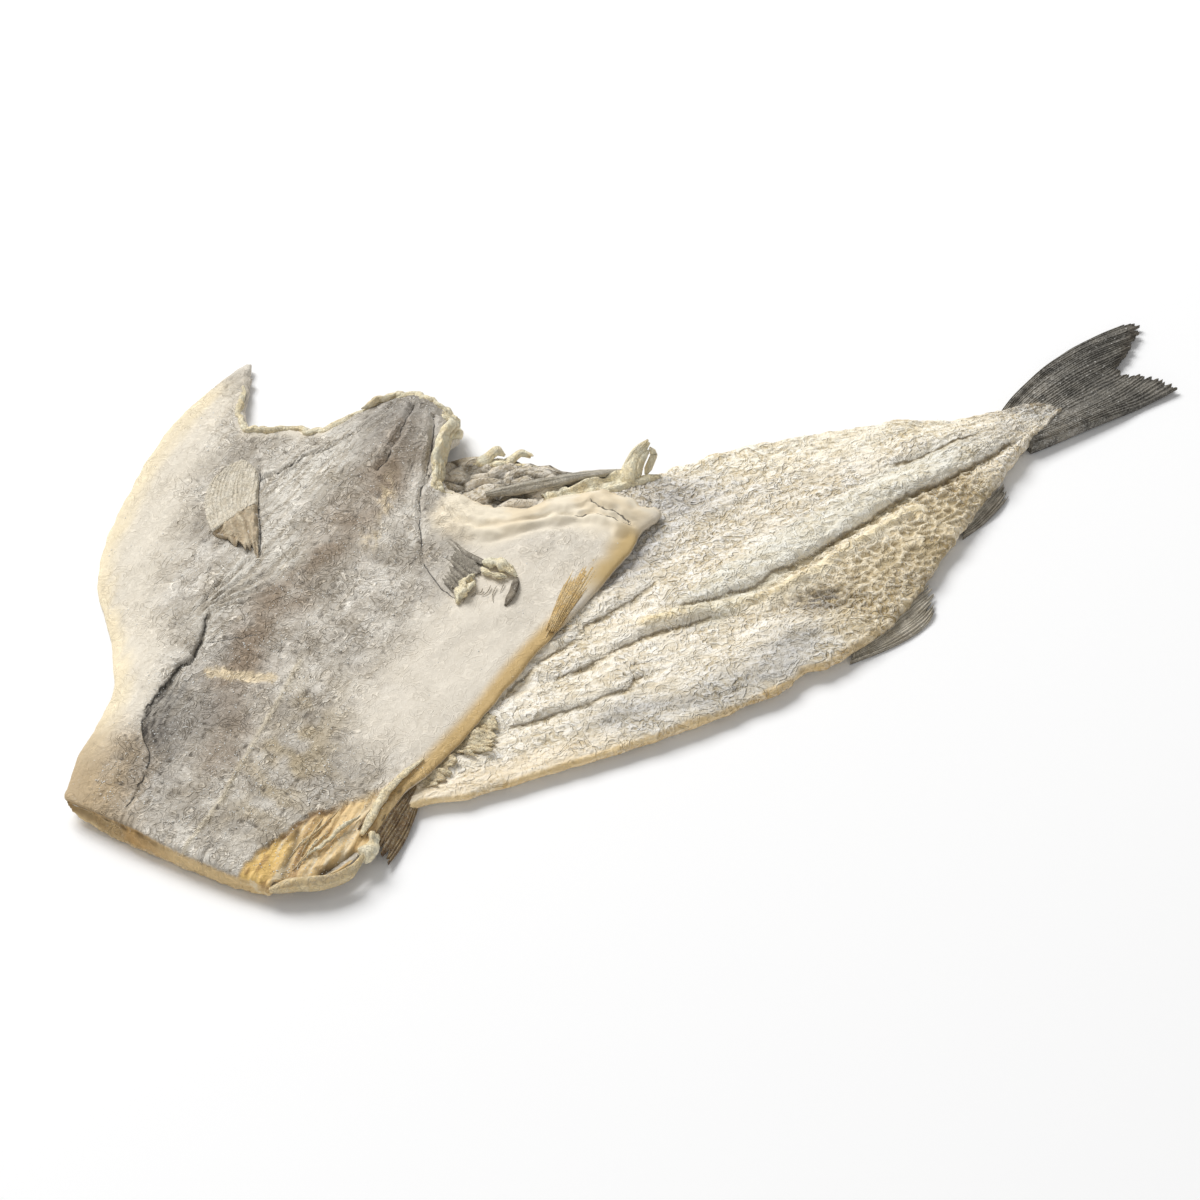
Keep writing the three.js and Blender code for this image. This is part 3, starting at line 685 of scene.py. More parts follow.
# Masks of the front half: eased steps and bells of (along, offset) and of the distance to the nape edge,
# multiplied together, their borders moved by a wandering noise and by streaks along the fish
def skinMasks(along, offset, toNape):
    wander = 5 * layeredNoise(along / 20, offset / 20, 51, 3)
    drawn = 4 * layeredNoise(along / 42, offset / 4.5, 52, 3)      # streaks that run along the fish
    a, b = along + wander, offset + 0.8 * wander
    far, near = frontFar(along), frontNear(along)
    cream = smooth(1.5, 0.5, (far - offset + 0.3 * wander + drawn) / creamWidth(along))
    cream = cream * (1 - 0.65 * smooth(196, 226, along + 1.5 * drawn) * smooth(70, 82, offset))
    onCollar = smooth(-94, -84, offset) * (1 - smooth(-20, -12, offset))
    collar = onCollar * smooth(30, 14, toNape + 0.6 * wander)
    bay = smooth(12, 5, toNape + 0.4 * wander) * smooth(36, 46, offset) * (1 - smooth(76, 84, offset))
    pale = smooth(-20, -46, b + 0.6 * drawn) * smooth(45, 85, a) * (1 - 0.25 * smooth(165, 190, a))
    amber = (smooth(10, 3, offset - near + 0.4 * wander) * smooth(165, 186, along)
             * (1 - smooth(206, 214, along)))
    tear = curveThrough(front["tear"])(along) + 1.3 * layeredNoise(along / 5, offset / 5, 58, 2) - offset
    window = smooth(-0.8, 0.8 + 4 * smooth(30, 50, along), tear) * (1 - smooth(46, 60, along))
    gold = window * smooth(-45, -39, offset) * (1 - smooth(12, 24, along))
    torn = bell(tear - 0.7, 0.9) * smooth(10, 18, along) * (1 - smooth(34, 44, along))
    yellow = smooth(7.5, 3.0, offset - near) * smooth(40, 58, along) * (1 - smooth(150, 166, along))
    lemon = smooth(11, 1.5, far - offset + 0.5 * drawn) * smooth(0, 25, along) * (1 - smooth(205, 225, along))
    honey = smooth(38, 8, far - offset + 0.5 * wander + drawn) * smooth(52, 8, along + 0.6 * wander)
    stain = smooth(-0.2, 0.5, layeredNoise(along / 13, offset / 13, 54, 3))
    stained = onCollar * (0.3 * stain * smooth(26, 8, toNape) + 0.35 * smooth(2.6, 0.8, toNape))
    yellow = np.maximum(yellow, stained)
    patchy = smooth(-0.45, 0.4, layeredNoise(along / 15, offset / 11, 55, 2))
    brown = bell(lineDistance(a, b, front["brownBand"]), 10) * (0.5 + 0.5 * patchy)
    brown = np.maximum(brown, 0.55 * bell(lineDistance(a, b, [(62, 7), (52, -1), (38, 0)]), 8))
    brown = np.maximum(brown, 0.8 * bell(along - 154, 4.5) * bell(offset + 49, 5))
    spots = bell(along - 178, 9) * bell(offset - 3 - 0.3 * (along - 178), 3)
    spots = spots + bell(along - 158, 5) * bell(offset + 1, 4)
    spots = spots * smooth(-0.3, 0.3, softNoise(along / 3, offset / 3, 56))
    ragged = 1.1 * layeredNoise(along / 3, offset / 3, 59, 3)
    bar = smooth(3.4, 1.4, lineDistance(along, offset, front["bar"]) + ragged)
    grey = 1.1 * bell(a - 219, 30) * bell(b - 19, 17) + 1.2 * bell(a - 26, 34) * bell(b - 23, 11)
    grey += 0.6 * bell(a - 150, 20) * bell(b - 60, 14)
    grey += bell(lineDistance(a, b, [(146, -34), (160, -37), (172, -33)]), 9)
    grey += 0.8 * bell(a - 88, 16) * bell(b - 18, 10) + 0.9 * bell(a - 58, 12) * bell(b - 8, 10)
    olive = (bell(a - 50, 34) * bell(b + 24, 18)
             * smooth(-0.4, 0.4, layeredNoise(along / 12, offset / 12, 57, 2)))
    streaky = (bell(a - 178, 34) * bell(b - 38, 13)
               + bell(lineDistance(a, b, [(98, 39), (122, 33), (140, 26)]), 9))
    seam = bell(lineDistance(along, offset + 0.4 * ragged, front["paleLine"]), 1.0)
    side = lineSide(along, offset, front["crack"])[1]              # dark fan on the near side of the crack
    flow = layeredNoise(along / 17 + side / 30, side / 1.5, 53, 2)
    fan = smooth(-15, -3, side) * (side < 0) * smooth(26, 36, along) * (1 - smooth(56, 72, along))
    fan = fan * (0.6 + 0.4 * smooth(-0.25, 0.25, flow))
    return {"cream": np.maximum(cream, bay), "collar": collar, "pale": pale, "amber": amber, "window": window,
            "gold": gold, "torn": torn, "yellow": yellow, "brown": brown, "spots": np.maximum(spots, bar),
            "grey": grey, "olive": olive, "streaky": streaky, "seam": seam, "fan": fan, "lemon": lemon,
            "honey": honey}


# Relief of the skin, a sum: bells for the hump and the collar, a raised lip and a furrow at the great crack,
# a furrow between low lips at each other crack, fanned pleats as a sine of the angle, threads and pits of noise
def skinRelief(along, offset, toNape, masks):
    hump, ridge = front["hump"], front["collar"]
    height = (hump["height"] * bell(along - hump["along"], hump["length"])
              * bell(offset - hump["offset"], hump["width"]))
    onCollar = smooth(ridge["near"] - 6, ridge["near"] + 10, offset)
    onCollar = onCollar * (1 - smooth(ridge["far"] - 8, ridge["far"], offset))
    height += ridge["height"] * onCollar * bell(toNape - ridge["inset"], ridge["width"])
    ripple = toNape + 2 * softNoise(offset / 14, along / 30, 69)
    rolls = 0.9 * bell(ripple - 16.5, 2.6) - 0.7 * bell(ripple - 12.5, 1.6) - 0.5 * bell(ripple - 21, 2)
    height += onCollar * rolls
    crinkle = layeredNoise(along / 6 + offset / 30, offset / 10, 70, 4)
    height += onCollar * smooth(34, 10, toNape) * 0.9 * crinkle + 0.7 * onCollar * bell(toNape - 1.6, 1.1)
    wobble = 1.1 * layeredNoise(along / 6, offset / 6, 61, 3)
    pairs = [lineSide(along + wobble, offset + wobble, front["crack"])]
    gap, side = pairs[0]
    plate = smooth(-0.6, 0.6, side)
    deep = 0.35 + 0.65 * smooth(48, 64, along)
    height += deep * (plate * 0.9 * bell(gap, 5) - (1 - plate) * 1.1 * bell(gap, 1.6))
    gape = bell(gap, 0.9) * smooth(60, 70, along) * (1 - smooth(88, 96, along))
    height -= 0.9 * gape
    # painted shade in the gaping part of the crack
    dark = 0.5 * gape
    pairs[0] = (gap + (2.2 - 1.3 * deep) * smooth(-0.1, 0.4, softNoise(along / 6, offset / 30, 60)), side)
    for points, depth, width in front["cracks"]:
        gap, side = lineSide(along + 0.7 * wobble, offset + 0.7 * wobble, points)
        height += depth * (0.4 * bell(gap - 2.2 * width, 1.6 * width) - bell(gap, width))
        pairs.append((gap + 0.6 * (1.3 - depth) + smooth(0.0, 0.5, softNoise(along / 5, offset / 5, 68)), side))
    slot = bell(lineDistance(along, offset, front["slot"]), 1.4)
    height -= 2.4 * slot
    crease = bell(lineDistance(along + 0.5 * wobble, offset, front["crease"]), 0.9)
    height -= 1.1 * crease
    # painted shade in the slot and the crease
    dark = np.maximum(dark, np.maximum(0.95 * slot, 0.75 * crease))
    height += 0.6 * masks["seam"]
    ahead, beside = along - front["pleatApex"][0], offset - front["pleatApex"][1]
    spread, reach = np.arctan2(beside, ahead), np.hypot(beside, ahead)
    pleats = smooth(2, 6, reach) * (1 - smooth(28, 42, reach))
    pleats = pleats * smooth(-1.0, -0.8, spread) * (1 - smooth(-0.1, 0.06, spread))
    pleated = np.sin(spread * front["pleatCount"] + 1.5 * softNoise(along / 8, offset / 8, 62))
    height += 0.5 * pleats * pleated
    # painted shade in the furrows of the pleats
    pleat = pleats * smooth(0.1, 0.9, -pleated) * (1 - 0.6 * smooth(10, 30, reach))
    height -= 0.7 * masks["fan"]
    height += 1.3 * bell(along - 217, 4.5) * bell(offset + 73, 9)
    smoothSkin = np.clip(0.85 * masks["collar"] + 0.75 * masks["pale"] + 0.55 * masks["cream"], 0, 0.92)
    fibre = 0.30 * threadNoise(along / 3.8, offset / 3.6, 63) + 0.2 * threadNoise(along / 2.2, offset / 2.1, 64)
    pits = smooth(0.25, 0.7, -softNoise(along / 2.6, offset / 2.6, 65))
    bulk = 0.9 * layeredNoise(along / 30, offset / 22, 66, 3)
    height += bulk * 0.8 + (1 - smoothSkin) * (fibre - 0.35 * pits)
    streaks = layeredNoise(along / 16 - offset / 40, offset / 2.2, 67, 2)
    height += masks["window"] * (1.0 * streaks - 1.0)
    # painted shade in the deepest pits of the relief
    pore = (1 - smoothSkin) * smooth(0.45, 0.75, -softNoise(along / 2.6, offset / 2.6, 65))
    lineGap, side = nearestLine(pairs)
    return height, {"dark": dark, "pore": pore, "pleat": pleat, "lineGap": lineGap, "lineSide": side}


# Front half at a share of the way to the nape edge and a share across: it lies on its support,
# top and underside half the thickness off the middle, falling as quarter circles to margins and edge;
# fine adds relief and masks
def frontSurface(share, across, fine=True):
    side = 2 * across - 1
    edge = lerp(front["napeSpan"][0], front["napeSpan"][1], across)
    fray = ((1.5 + 1.4 * smooth(72, 80, edge)) * layeredNoise(edge / 3.2, edge * 0, 71, 3)
            * smooth(-24, -10, edge))
    fray = fray + (1.1 + 2.2 * smooth(-78, -86, edge)) * layeredNoise(edge / 5, edge * 0, 72, 3)
    toEdge = napeEdge(edge) + fray
    along = share * toEdge
    ripple = 0.6 * layeredNoise(along / 12, across * 2, 73, 3)
    loose = 0.9 * smooth(60, 110, along) + 2.4 * smooth(196, 212, along)
    offset = lerp(frontNear(along) + loose * ripple, frontFar(along) + ripple, across)
    x, y = planPoint(frontLine, along, offset)
    under = support(x, y) + (front["bendGap"] - front["restGap"]) * (1 - smooth(0, 50, along))
    full = frontThick(along) * crown(side)
    ends = rounded(side, rim["sideShare"]) * rounded(share, rim["endShare"])
    middle = under + full / 2
    spot = {"x": x, "y": y, "along": along, "offset": offset, "under": middle - full / 2 * ends}
    spot["top"] = middle + full / 2 * ends
    if fine:
        spot["masks"] = skinMasks(along, offset, toEdge - along)
        relief, marks = skinRelief(along, offset, toEdge - along, spot["masks"])
        spot["top"] = spot["top"] + relief * np.sqrt(ends)
        spot["masks"].update(marks)
    return spot


def bendSurface(turn, across, fine=True):
    # half-round bend: from the rear half's end round to the front half's start, about the line between them;
    # outside, the skin ends in a lip and the cut band below it is hollowed toward the far end
    lower, upper = rearSurface(0 * across, across, False), frontSurface(0 * across, across, fine)
    lowMiddle, highMiddle = (lower["top"] + lower["under"]) / 2, (upper["top"] + upper["under"]) / 2
    share = 0.5 + turn / np.pi
    half = lerp(lower["top"] - lower["under"], upper["top"] - upper["under"], share) / 2
    radius, centre = (highMiddle - lowMiddle) / 2, (highMiddle + lowMiddle) / 2
    out = np.abs(np.cos(turn)) ** front["bendSquareness"]
    rise = np.sign(turn) * np.abs(np.sin(turn)) ** front["bendSquareness"]
    band, hollow, lowLip, shade = 0, 0, 0, 0
    if fine:
        level = turn / (np.pi / 2)
        left = smooth(0.4, 0.66, across)
        lip = lerp(0.2, 0.56, left) + 0.05 * layeredNoise(across * 50, 0 * turn, 81, 3)
        band = smooth(0.24 - 0.19 * left, -0.05, level - lip)
        hollow = bell(turn - 0.1, 0.5) * smooth(0.68, 0.76, across) * (1 - smooth(0.975, 1, across))
        lowLip = smooth(-0.2, -0.45, level + 0.1 * layeredNoise(across * 20, 0 * turn, 83, 2))
        shade = left * bell(lip - level - 0.16, 0.13) * smooth(-0.5, 0.2, softNoise(across * 16, 0 * turn, 84))
        scuff = 0.5 * layeredNoise(across * 16, turn * 5, 82, 3)
        half = half - band * (0.55 + 3.0 * hollow + scuff + 0.6 * shade - 0.5 * lowLip)
    spot = {"along": 0 * across, "offset": upper["offset"], "masks": dict(upper.get("masks", {}))}
    for name, reach in (("skin", radius + half), ("flesh", np.maximum(radius - half, 0.1))):
        x = lerp(lower["x"], upper["x"], share) - foldLine[1] * reach * out
        y = lerp(lower["y"], upper["y"], share) + foldLine[0] * reach * out
        spot[name] = np.stack([x, y, np.maximum(centre + reach * rise, 0.05)], -1)
    spot["masks"]["band"] = band * (1 - 0.6 * hollow) * (1 - 0.55 * lowLip)
    if fine:
        spot["masks"]["lipPale"] = band * np.maximum(0.8 * hollow, np.maximum(0.9 * lowLip, 0.8 * (1 - left)))
        # painted shade just under the skin lip, and the band darker toward its far end
        spot["masks"]["dark"] = band * (0.6 * shade + 0.28 * smooth(0.72, 0.92, across) * (1 - lowLip))
        spot["masks"]["lineGap"] = lerp(spot["masks"]["lineGap"], 1.0, band)
    return spot


# Skin: tints by mask, then fine lines, painted shade on the curls' lower flanks and painted highlights on their
# upper flanks multiplied in where it is rough, painted shade in the pits, pleat furrows, slot, crease, gape and
# under the fold's lip, and in cracks
def skinFinish():
    finish, start, shader = newFinish("skinFinish")
    broad, mottle, fine = grain(start, 60), grain(start, 150, 4), grain(start, 1000, 2)
    lines = grain(start, 520, 2, stretch=(0.1, 1, 1), turn=-25)
    curls = threads(start, weave["curls"], 0.05, weave["swirl"], 0.02)
    under = threads(start, weave["curls"], 0.055, weave["swirl"], -0.045)
    small = threads(start, weave["skinSmall"], 0.07, 1.6, 0.025)
    smallUnder = threads(start, weave["skinSmall"], 0.07, 1.6, -0.055)
    colour = broad.eased(0.38, 0.62).mixed(paint(178, 170, 157), paint(220, 214, 203))
    colour = (mottle.eased(0.5, 0.66) * 0.3).mixed(colour, paint(148, 138, 124))
    for name, (share, tint) in front["tints"].items():
        colour = (mask(start, name) * share).mixed(colour, paint(*tint))
    calm = 1 - 0.75 * mask(start, "pale") - 0.65 * mask(start, "cream") - 0.6 * mask(start, "collar")
    calm = calm - 0.7 * mask(start, "band") - 0.5 * mask(start, "amber")
    window, streaky = mask(start, "window"), mask(start, "streaky")
    calm = calm.math("MAXIMUM", calm, 0.0) * (1 - 0.7 * window)
    rough = calm * (0.45 + 0.55 * grain(start, 75, 2).eased(0.4, 0.58))
    streak = grain(start, 300, 3, 0.6, (0.14, 1, 1), -34)
    colour = (window * streak.eased(0.52, 0.64) * 0.6).mixed(colour, paint(150, 110, 66))
    colour = (window * (1 - streak.eased(0.36, 0.46)) * 0.6).mixed(colour, paint(234, 221, 192))
    colour = (mask(start, "torn") * 0.75).mixed(colour, paint(120, 86, 52))
    colour = (mask(start, "fan") * (0.55 + 0.45 * lines.eased(0.42, 0.58))).mixed(colour, paint(58, 51, 44))
    colour = toned(1 - (1 - lines.eased(0.34, 0.62)) * rough, colour, 0.84, 1.0)
    # painted shade in the pleat furrows
    colour = (mask(start, "pleat") * 0.75).mixed(colour, paint(122, 110, 93))
    colour = (streaky * (1 - lines.eased(0.4, 0.52)) * 0.5).mixed(colour, paint(156, 144, 124))
    # painted shade on the lower flank of each curl and small curl, painted highlights on their upper flanks
    colour = toned(1 - under * rough, colour, 0.74, 1.0)
    colour = toned(1 - smallUnder * rough, colour, 0.82, 1.0)
    colour = toned(curls * rough, colour, 1.0, 1.45, (1, 1, 1))
    colour = toned(small * calm, colour, 1.0, 1.18, (1, 1, 1))
    # painted shade in the pits
    colour = (mask(start, "pore") * calm * 0.75).mixed(colour, paint(92, 83, 72))
    # painted shade in the crack's gape, the slot, the crease and under the fold's skin lip, and the far end of
    # the fold band darker
    colour = (mask(start, "dark") * 0.9).mixed(colour, paint(52, 46, 40))
    # dark line of painted shade down in each crack
    colour = (crackLine(start, 0.1, 0.42) * 0.85).mixed(colour, paint(44, 40, 35))
    colour = (fine.eased(0.63, 0.75) * 0.45 * (0.2 + calm)).mixed(colour, paint(248, 246, 240))
    bump = 0.8 * curls * rough - 0.5 * under * rough + 0.35 * small * calm
    bump = bump + 0.5 * mottle * (0.1 + calm) + 0.12 * fine + 0.7 * lines * streaky + 0.8 * streak * window
    setFinish(start, shader, colour, 0.62 + 0.22 * fine, bump, 0.00035)
    return finish


def makeFront():
    w, v = np.linspace(0, 1, 4 * front["columns"] + 1), np.linspace(0, 1, front["columns"] + 1)
    turns = np.linspace(-np.pi / 2, np.pi / 2, front["bendRows"])[:-1, None]
    shares = np.linspace(0, 1, front["rows"])[:, None]
    bendTop = bendSurface(turns + 0 * w, w + 0 * turns)
    bendUnder = bendSurface(turns + 0 * v, v + 0 * turns, False)
    top = frontSurface(shares + 0 * w, w + 0 * shares)
    under = frontSurface(shares + 0 * v, v + 0 * shares, False)
    upper = np.concatenate([bendTop["skin"], np.stack([top["x"], top["y"], top["top"]], -1)])
    lower = np.concatenate([bendUnder["flesh"], np.stack([under["x"], under["y"], under["under"]], -1)])
    top["masks"].update(band=0 * top["along"], lipPale=0 * top["along"])
    masks = {}
    for key, value in top["masks"].items():
        onBend = np.broadcast_to(bendTop["masks"].get(key, 0.0), turns.shape[:1] + w.shape)
        masks[key] = (np.concatenate([onBend, value]), {"cream": 0.6, "lineGap": 1.0}.get(key, 0.0))
    return makePiece("frontSkin", sheetShape(upper, lower, masks), skinFinish())


# Places on the two halves, for what lies on them
def onSkin(along, offset, lift=0.0):  # point on the front half's skin, raised by lift
    near = frontNear(along)
    across = np.clip((offset - near) / (frontFar(along) - near), 0.01, 0.99)
    share = np.clip(along / napeEdge(lerp(*front["napeSpan"], across)), 0, 0.985)
    x, y = planPoint(frontLine, along, offset)
    return np.stack([x, y, frontSurface(share, across)["top"] + lift], -1)


def onFlesh(along, offset, lift=0.0):  # point on the rear half's flesh, raised by lift
    near = rearNear(along)
    across = np.clip((offset - near) / (rearFar(along) - near), 0.01, 0.99)
    x, y = planPoint(rearLine, along, offset)
    return np.stack([x, y, rearSurface(along, across)["top"] + lift], -1)


def byFront(along, offset, height):  # front half's measures with a height above the ground
    return np.stack([*planPoint(frontLine, along, offset), height], -1)


def byRear(along, offset, height):  # rear half's measures with a height above the ground
    return np.stack([*planPoint(rearLine, along, offset), height], -1)


def byPlan(x, y, height):  # millimetres of the plan as they are
    return np.stack([x, y, height], -1)


# Line of points as a function of its share 0 to 1, by distance run
def edgeCurve(points):
    points = np.array(points, float)
    run = np.r_[0, np.cumsum(np.linalg.norm(np.diff(points, axis=0), axis=1))]
    columns = [curveThrough(np.c_[run / run[-1], column]) for column in points.T]
    return lambda share: np.stack([column(share) for column in columns], -1)


toneNames = ("ray", "tip", "dark", "cream", "amber", "faint")


def leafShape(place, first, second, middle=None, rays=8, steps=6, columns=24, thickness=(1.0, 0.5), ridge=0.2,
              jag=0.0, wave=0.0, waveCount=(3.2, 2.3), seed=0, lines=1.0, **tones):
    # thin leaf: lines from the root edge to the tip edge (through a middle one if given), cut back
    # unevenly at the tip, one ridge for each ray, thinner toward tip and rims
    r, k = np.linspace(0, 1, rays * steps + 1)[:, None], np.linspace(0, 1, columns + 1)[None]
    cut = 0.35 + softNoise(r * rays * 0.9, 0 * r, seed) + 0.5 * softNoise(r * rays * 2.3, 0 * r, seed + 1)
    k = k * (1 - jag * np.clip(cut, 0, 1))
    r = r + 0 * k
    a, b, k3 = edgeCurve(first)(r), edgeCurve(second)(r), k[..., None]
    flat = lerp(a, b, k3)
    if middle is not None:
        flat = flat + 4 * k3 * (1 - k3) * (edgeCurve(middle)(r) - (a + b) / 2)
    bent = (r + 0.45 / rays * softNoise(r * rays * 0.4, k * 1.5, seed + 2)
            + 0.03 * softNoise(r * 3, k * 3, seed + 3))
    clear = smooth(-0.9, 0.3, softNoise(r * rays * 0.7, k * 1.2, seed + 4))
    stripe = 0.5 - 0.5 * np.cos(2 * np.pi * rays * bent) * clear
    lift = ridge * (stripe - 0.5) + wave * softNoise(r * waveCount[0], k * waveCount[1], seed + 5)
    top = place(flat[..., 0], flat[..., 1], flat[..., 2] + lift)
    deep = lerp(*thickness, k) * rounded(2 * r - 1, 0.08)
    bottom = top[:, ::2].copy()
    bottom[..., 2] = np.maximum(bottom[..., 2] - deep[:, ::2], 0.03)
    top[..., 2] = np.maximum(top[..., 2], 0.3)
    values = {name: np.full(k.shape, float(tones.get(name, 0))) for name in toneNames}
    values["ray"], values["tip"] = 1 - lines * (1 - stripe), k
    return sheetShape(top, bottom, {name: (value, value[:, ::2]) for name, value in values.items()})


def strandShape(place, points, radius, count=24, sides=10, lumps=0.25, seed=0, flat=1.0, swellRun=6.0, **tones):
    # torn strand: tube along the points, radius from first to last value, swollen and pinched by noise
    share = np.linspace(0, 1, count)
    line = edgeCurve(points)(share)
    path = place(line[:, 0], line[:, 1], line[:, 2])
    turn = np.linspace(0, 2 * np.pi, sides, endpoint=False)[None]
    along = np.linspace(0, np.linalg.norm(np.diff(path, axis=0), axis=1).sum(), count)[:, None]
    swell = softNoise(along / swellRun, 1.2 * np.cos(turn) + 3, seed)
    swell = swell + softNoise(along / swellRun / 1.5, 1.2 * np.sin(turn), seed + 1)
    swell = np.maximum(1 + lumps * swell, 0.3)
    ends = np.minimum(1, 0.35 + 3.2 * np.minimum(share, 1 - share))[:, None]
    squash = 1 / np.hypot(np.cos(turn), np.sin(turn) / flat)
    values = {name: np.full(count, float(tones.get(name, 0))) for name in toneNames}
    values["tip"] = share
    shape = tubeShape(path, lerp(*radius, share)[:, None] * swell * ends * squash, sides, values)
    shape["points"][:, 2] = np.maximum(shape["points"][:, 2], 0.05)
    streak = 0.68 + 0.8 * softNoise(along / 14, 3 * turn, seed + 3)
    shape["masks"]["ray"] = np.r_[streak.ravel(), 0.5, 0.5]
    return shape


def finFinish():
    finish, start, shader = newFinish("finFinish")
    fine, streak, small = grain(start, 1300, 3), grain(start, 260, 3), threads(start, 700, 0.08, 1.0)
    blend = streak.eased(0.3, 0.7)
    colour = blend.mixed(paint(144, 116, 76), paint(188, 162, 116))
    colour = mask(start, "amber").mixed(colour, blend.mixed(paint(226, 190, 120), paint(240, 212, 154)))
    colour = mask(start, "dark").mixed(colour, blend.mixed(paint(92, 88, 82), paint(150, 144, 133)))
    colour = mask(start, "cream").mixed(colour, blend.mixed(paint(255, 238, 194), paint(255, 249, 222)))
    colour = mask(start, "faint").mixed(colour, blend.mixed(paint(216, 205, 182), paint(233, 225, 207)))
    shade = (1 - mask(start, "ray")) * (0.75 - 0.6 * mask(start, "cream"))
    colour = shade.mixed(colour, mask(start, "dark").mixed(paint(150, 116, 74), paint(92, 89, 84)), "MULTIPLY")
    colour = (small * 0.25).mixed(colour, paint(232, 224, 206))
    colour = (fine.eased(0.6, 0.75) * 0.4).mixed(colour, paint(242, 238, 228))
    setFinish(start, shader, colour, 0.55 + 0.3 * fine, fine + 0.6 * small + mask(start, "ray"), 0.0004)
    return finish


# Tail fin: forked, near black, ragged at the tips
tail = {
    "root": [(374, -15, 5.6), (374, -5, 6.4), (374, 5, 5.6)],
    "middle": [(414, -18.8, 3.4), (408, -12, 4.4), (404, -2, 4.8), (409, 10, 4.4), (416, 20, 3.4)],
    "fork": [(443, -20.5, 2.2), (442.5, -16, 2.6), (439, -8, 2.9), (433, -1, 3.1), (433, 2, 3.1), (443, 7, 2.9),
             (448, 10.5, 2.8), (455, 14, 2.6), (460, 20.5, 2.2)],
    "rays": 34, "jag": 0.1,
}


def makeTail():
    shape = leafShape(byPlan, tail["root"], tail["fork"], tail["middle"], rays=tail["rays"], columns=72,
                      thickness=(5.0, 1.3), ridge=0.42, jag=tail["jag"], wave=1.0, seed=90, dark=1)
    finish, start, shader = newFinish("tailFinish")
    fine, broad, curls = grain(start, 1100, 4), grain(start, 160), threads(start, 330, 0.09, 1.5)
    ray, tip = mask(start, "ray"), mask(start, "tip")
    colour = broad.eased(0.35, 0.7).mixed(paint(104, 100, 92), paint(152, 146, 134))
    colour = ((1 - ray) * 0.65).mixed(colour, paint(38, 36, 33))
    colour = (fine.eased(0.52, 0.7) * 0.45).mixed(colour, paint(136, 132, 123))
    colour = ((1 - tip.eased(0.15, 0.6)) * 0.7 * broad.eased(0.3, 0.6)).mixed(colour, paint(172, 164, 150))
    colour = (curls * (0.75 - 0.6 * tip.eased(0.2, 0.9))).mixed(colour, paint(186, 182, 173))
    colour = (tip.eased(0.9, 1.0) * 0.45).mixed(colour, paint(92, 78, 56))
    colour = (speckle(start, 430, 0.17) * 0.7).mixed(colour, paint(222, 220, 214))
    setFinish(start, shader, colour, 0.5 + 0.3 * fine, 0.7 * ray + fine + 0.5 * curls, 0.0006)
    return makePiece("tailFin", shape, finish)


# Small fins: two on the rear half's near margin, one ray fin on the front half's near margin
marginFins = {
    "long": {"root": [(221, -69, 4), (218, -71, 3), (214, -73, 1.5)],
             "middle": [(245, -62.5, 4.2), (243, -69, 3), (240, -75.4, 1.3)],
             "tip": [(269, -57, 3.6), (265, -62.5, 2.4), (257, -69.5, 1.4)], "rays": 11},
    "short": {"root": [(306, -40, 4), (304, -42, 3), (301.5, -43.5, 1.6)],
              "middle": [(320, -35, 4.2), (320, -37.6, 3), (320, -40.2, 1.5)],
              "tip": [(338, -27.5, 3.6), (337, -31, 2.4), (335, -34.5, 1.6)], "rays": 7},
    "amber": {"root": [(183, -73.5, -0.5), (190, -78, -0.4), (191, -85, -0.6)],
              "middle": [(164, -75.2, 0.2), (165, -78.4, 0.5), (167, -82.2, 0.1)],
              "tip": [(149, -77.6, 0.0), (146, -79.2, 0.2), (150.5, -81.6, 0.0)], "rays": 9},
}


def makeMarginFins(finish):
    shapes = []
    for seed, name, faint in ((101, "long", 0.8), (111, "short", 0.35)):
        fin = marginFins[name]
        shapes.append(leafShape(byRear, fin["root"], fin["tip"], fin["middle"], rays=fin["rays"], columns=40,
                                thickness=(1.6, 0.8), ridge=0.5, jag=0.3, wave=0.7, seed=seed, lines=0.6,
                                dark=0.85, faint=faint))
    fin = marginFins["amber"]
    shapes.append(leafShape(onSkin, fin["root"], fin["tip"], fin["middle"], rays=fin["rays"], columns=20,
                            thickness=(0.5, 0.5), ridge=0.35, jag=0.2, wave=0.2, seed=121, lines=0.7, amber=1))
    return makePiece("marginFins", joined(shapes), finish)


# Pectoral fins on the skin: the left one a pale flap with its tip folded back, the right one a dark torn fan
pectorals = {
    "leftRoot": [(170, 72.5, 0.0), (181, 67, 0.2), (175, 57, 0.1)],
    "leftMiddle": [(154, 69.5, 0.4), (162, 61, 1.0), (164, 51.4, 0.9)],
    "leftFold": [(138.5, 57.5, 1.2), (147, 53.5, 2.3), (154, 50.4, 2.4), (157, 48, 1.6)],
    "leftTip": [(137, 55, 0.6), (134, 46, 0.9), (129.5, 37, 1.0), (127, 31.5, 0.5), (137, 36, 0.8)],
    "rightRoot": [(173, -25, -0.6), (164, -27, -0.5), (153, -29, -0.6)],
    "rightTip": [(167, -46, 0.9), (158, -44.5, 1.3), (147, -41, 0.7)],
    "bits": [([(159, -43, 1.2), (152.5, -42.6, 1.9), (147, -43.4, 1.7), (143, -44.2, 0.7)], (2.2, 1.8)),
             ([(156, -45, 1.3), (150, -45, 2.0), (145.5, -42, 1.1)], (1.2, 1.1)),
             ([(166, -43.4, 1.2), (167, -48.3, 2.1), (166, -53.5, 2.0), (165, -58, 1.0)], (2.1, 1.7)),
             ([(163.5, -44.3, 1.3), (161.6, -49.2, 1.8), (163, -55, 1.5)], (1.2, 1.1)),
             ([(169, -45, 1.0), (169, -50, 1.6), (167.5, -56, 1.1)], (1.0, 0.9))],
    "oval": [(165, -58.2, 0.6), (159, -59.6, 1.0), (155, -60, 0.9), (151, -60, 0.3)],
    "bristles": 6,
}


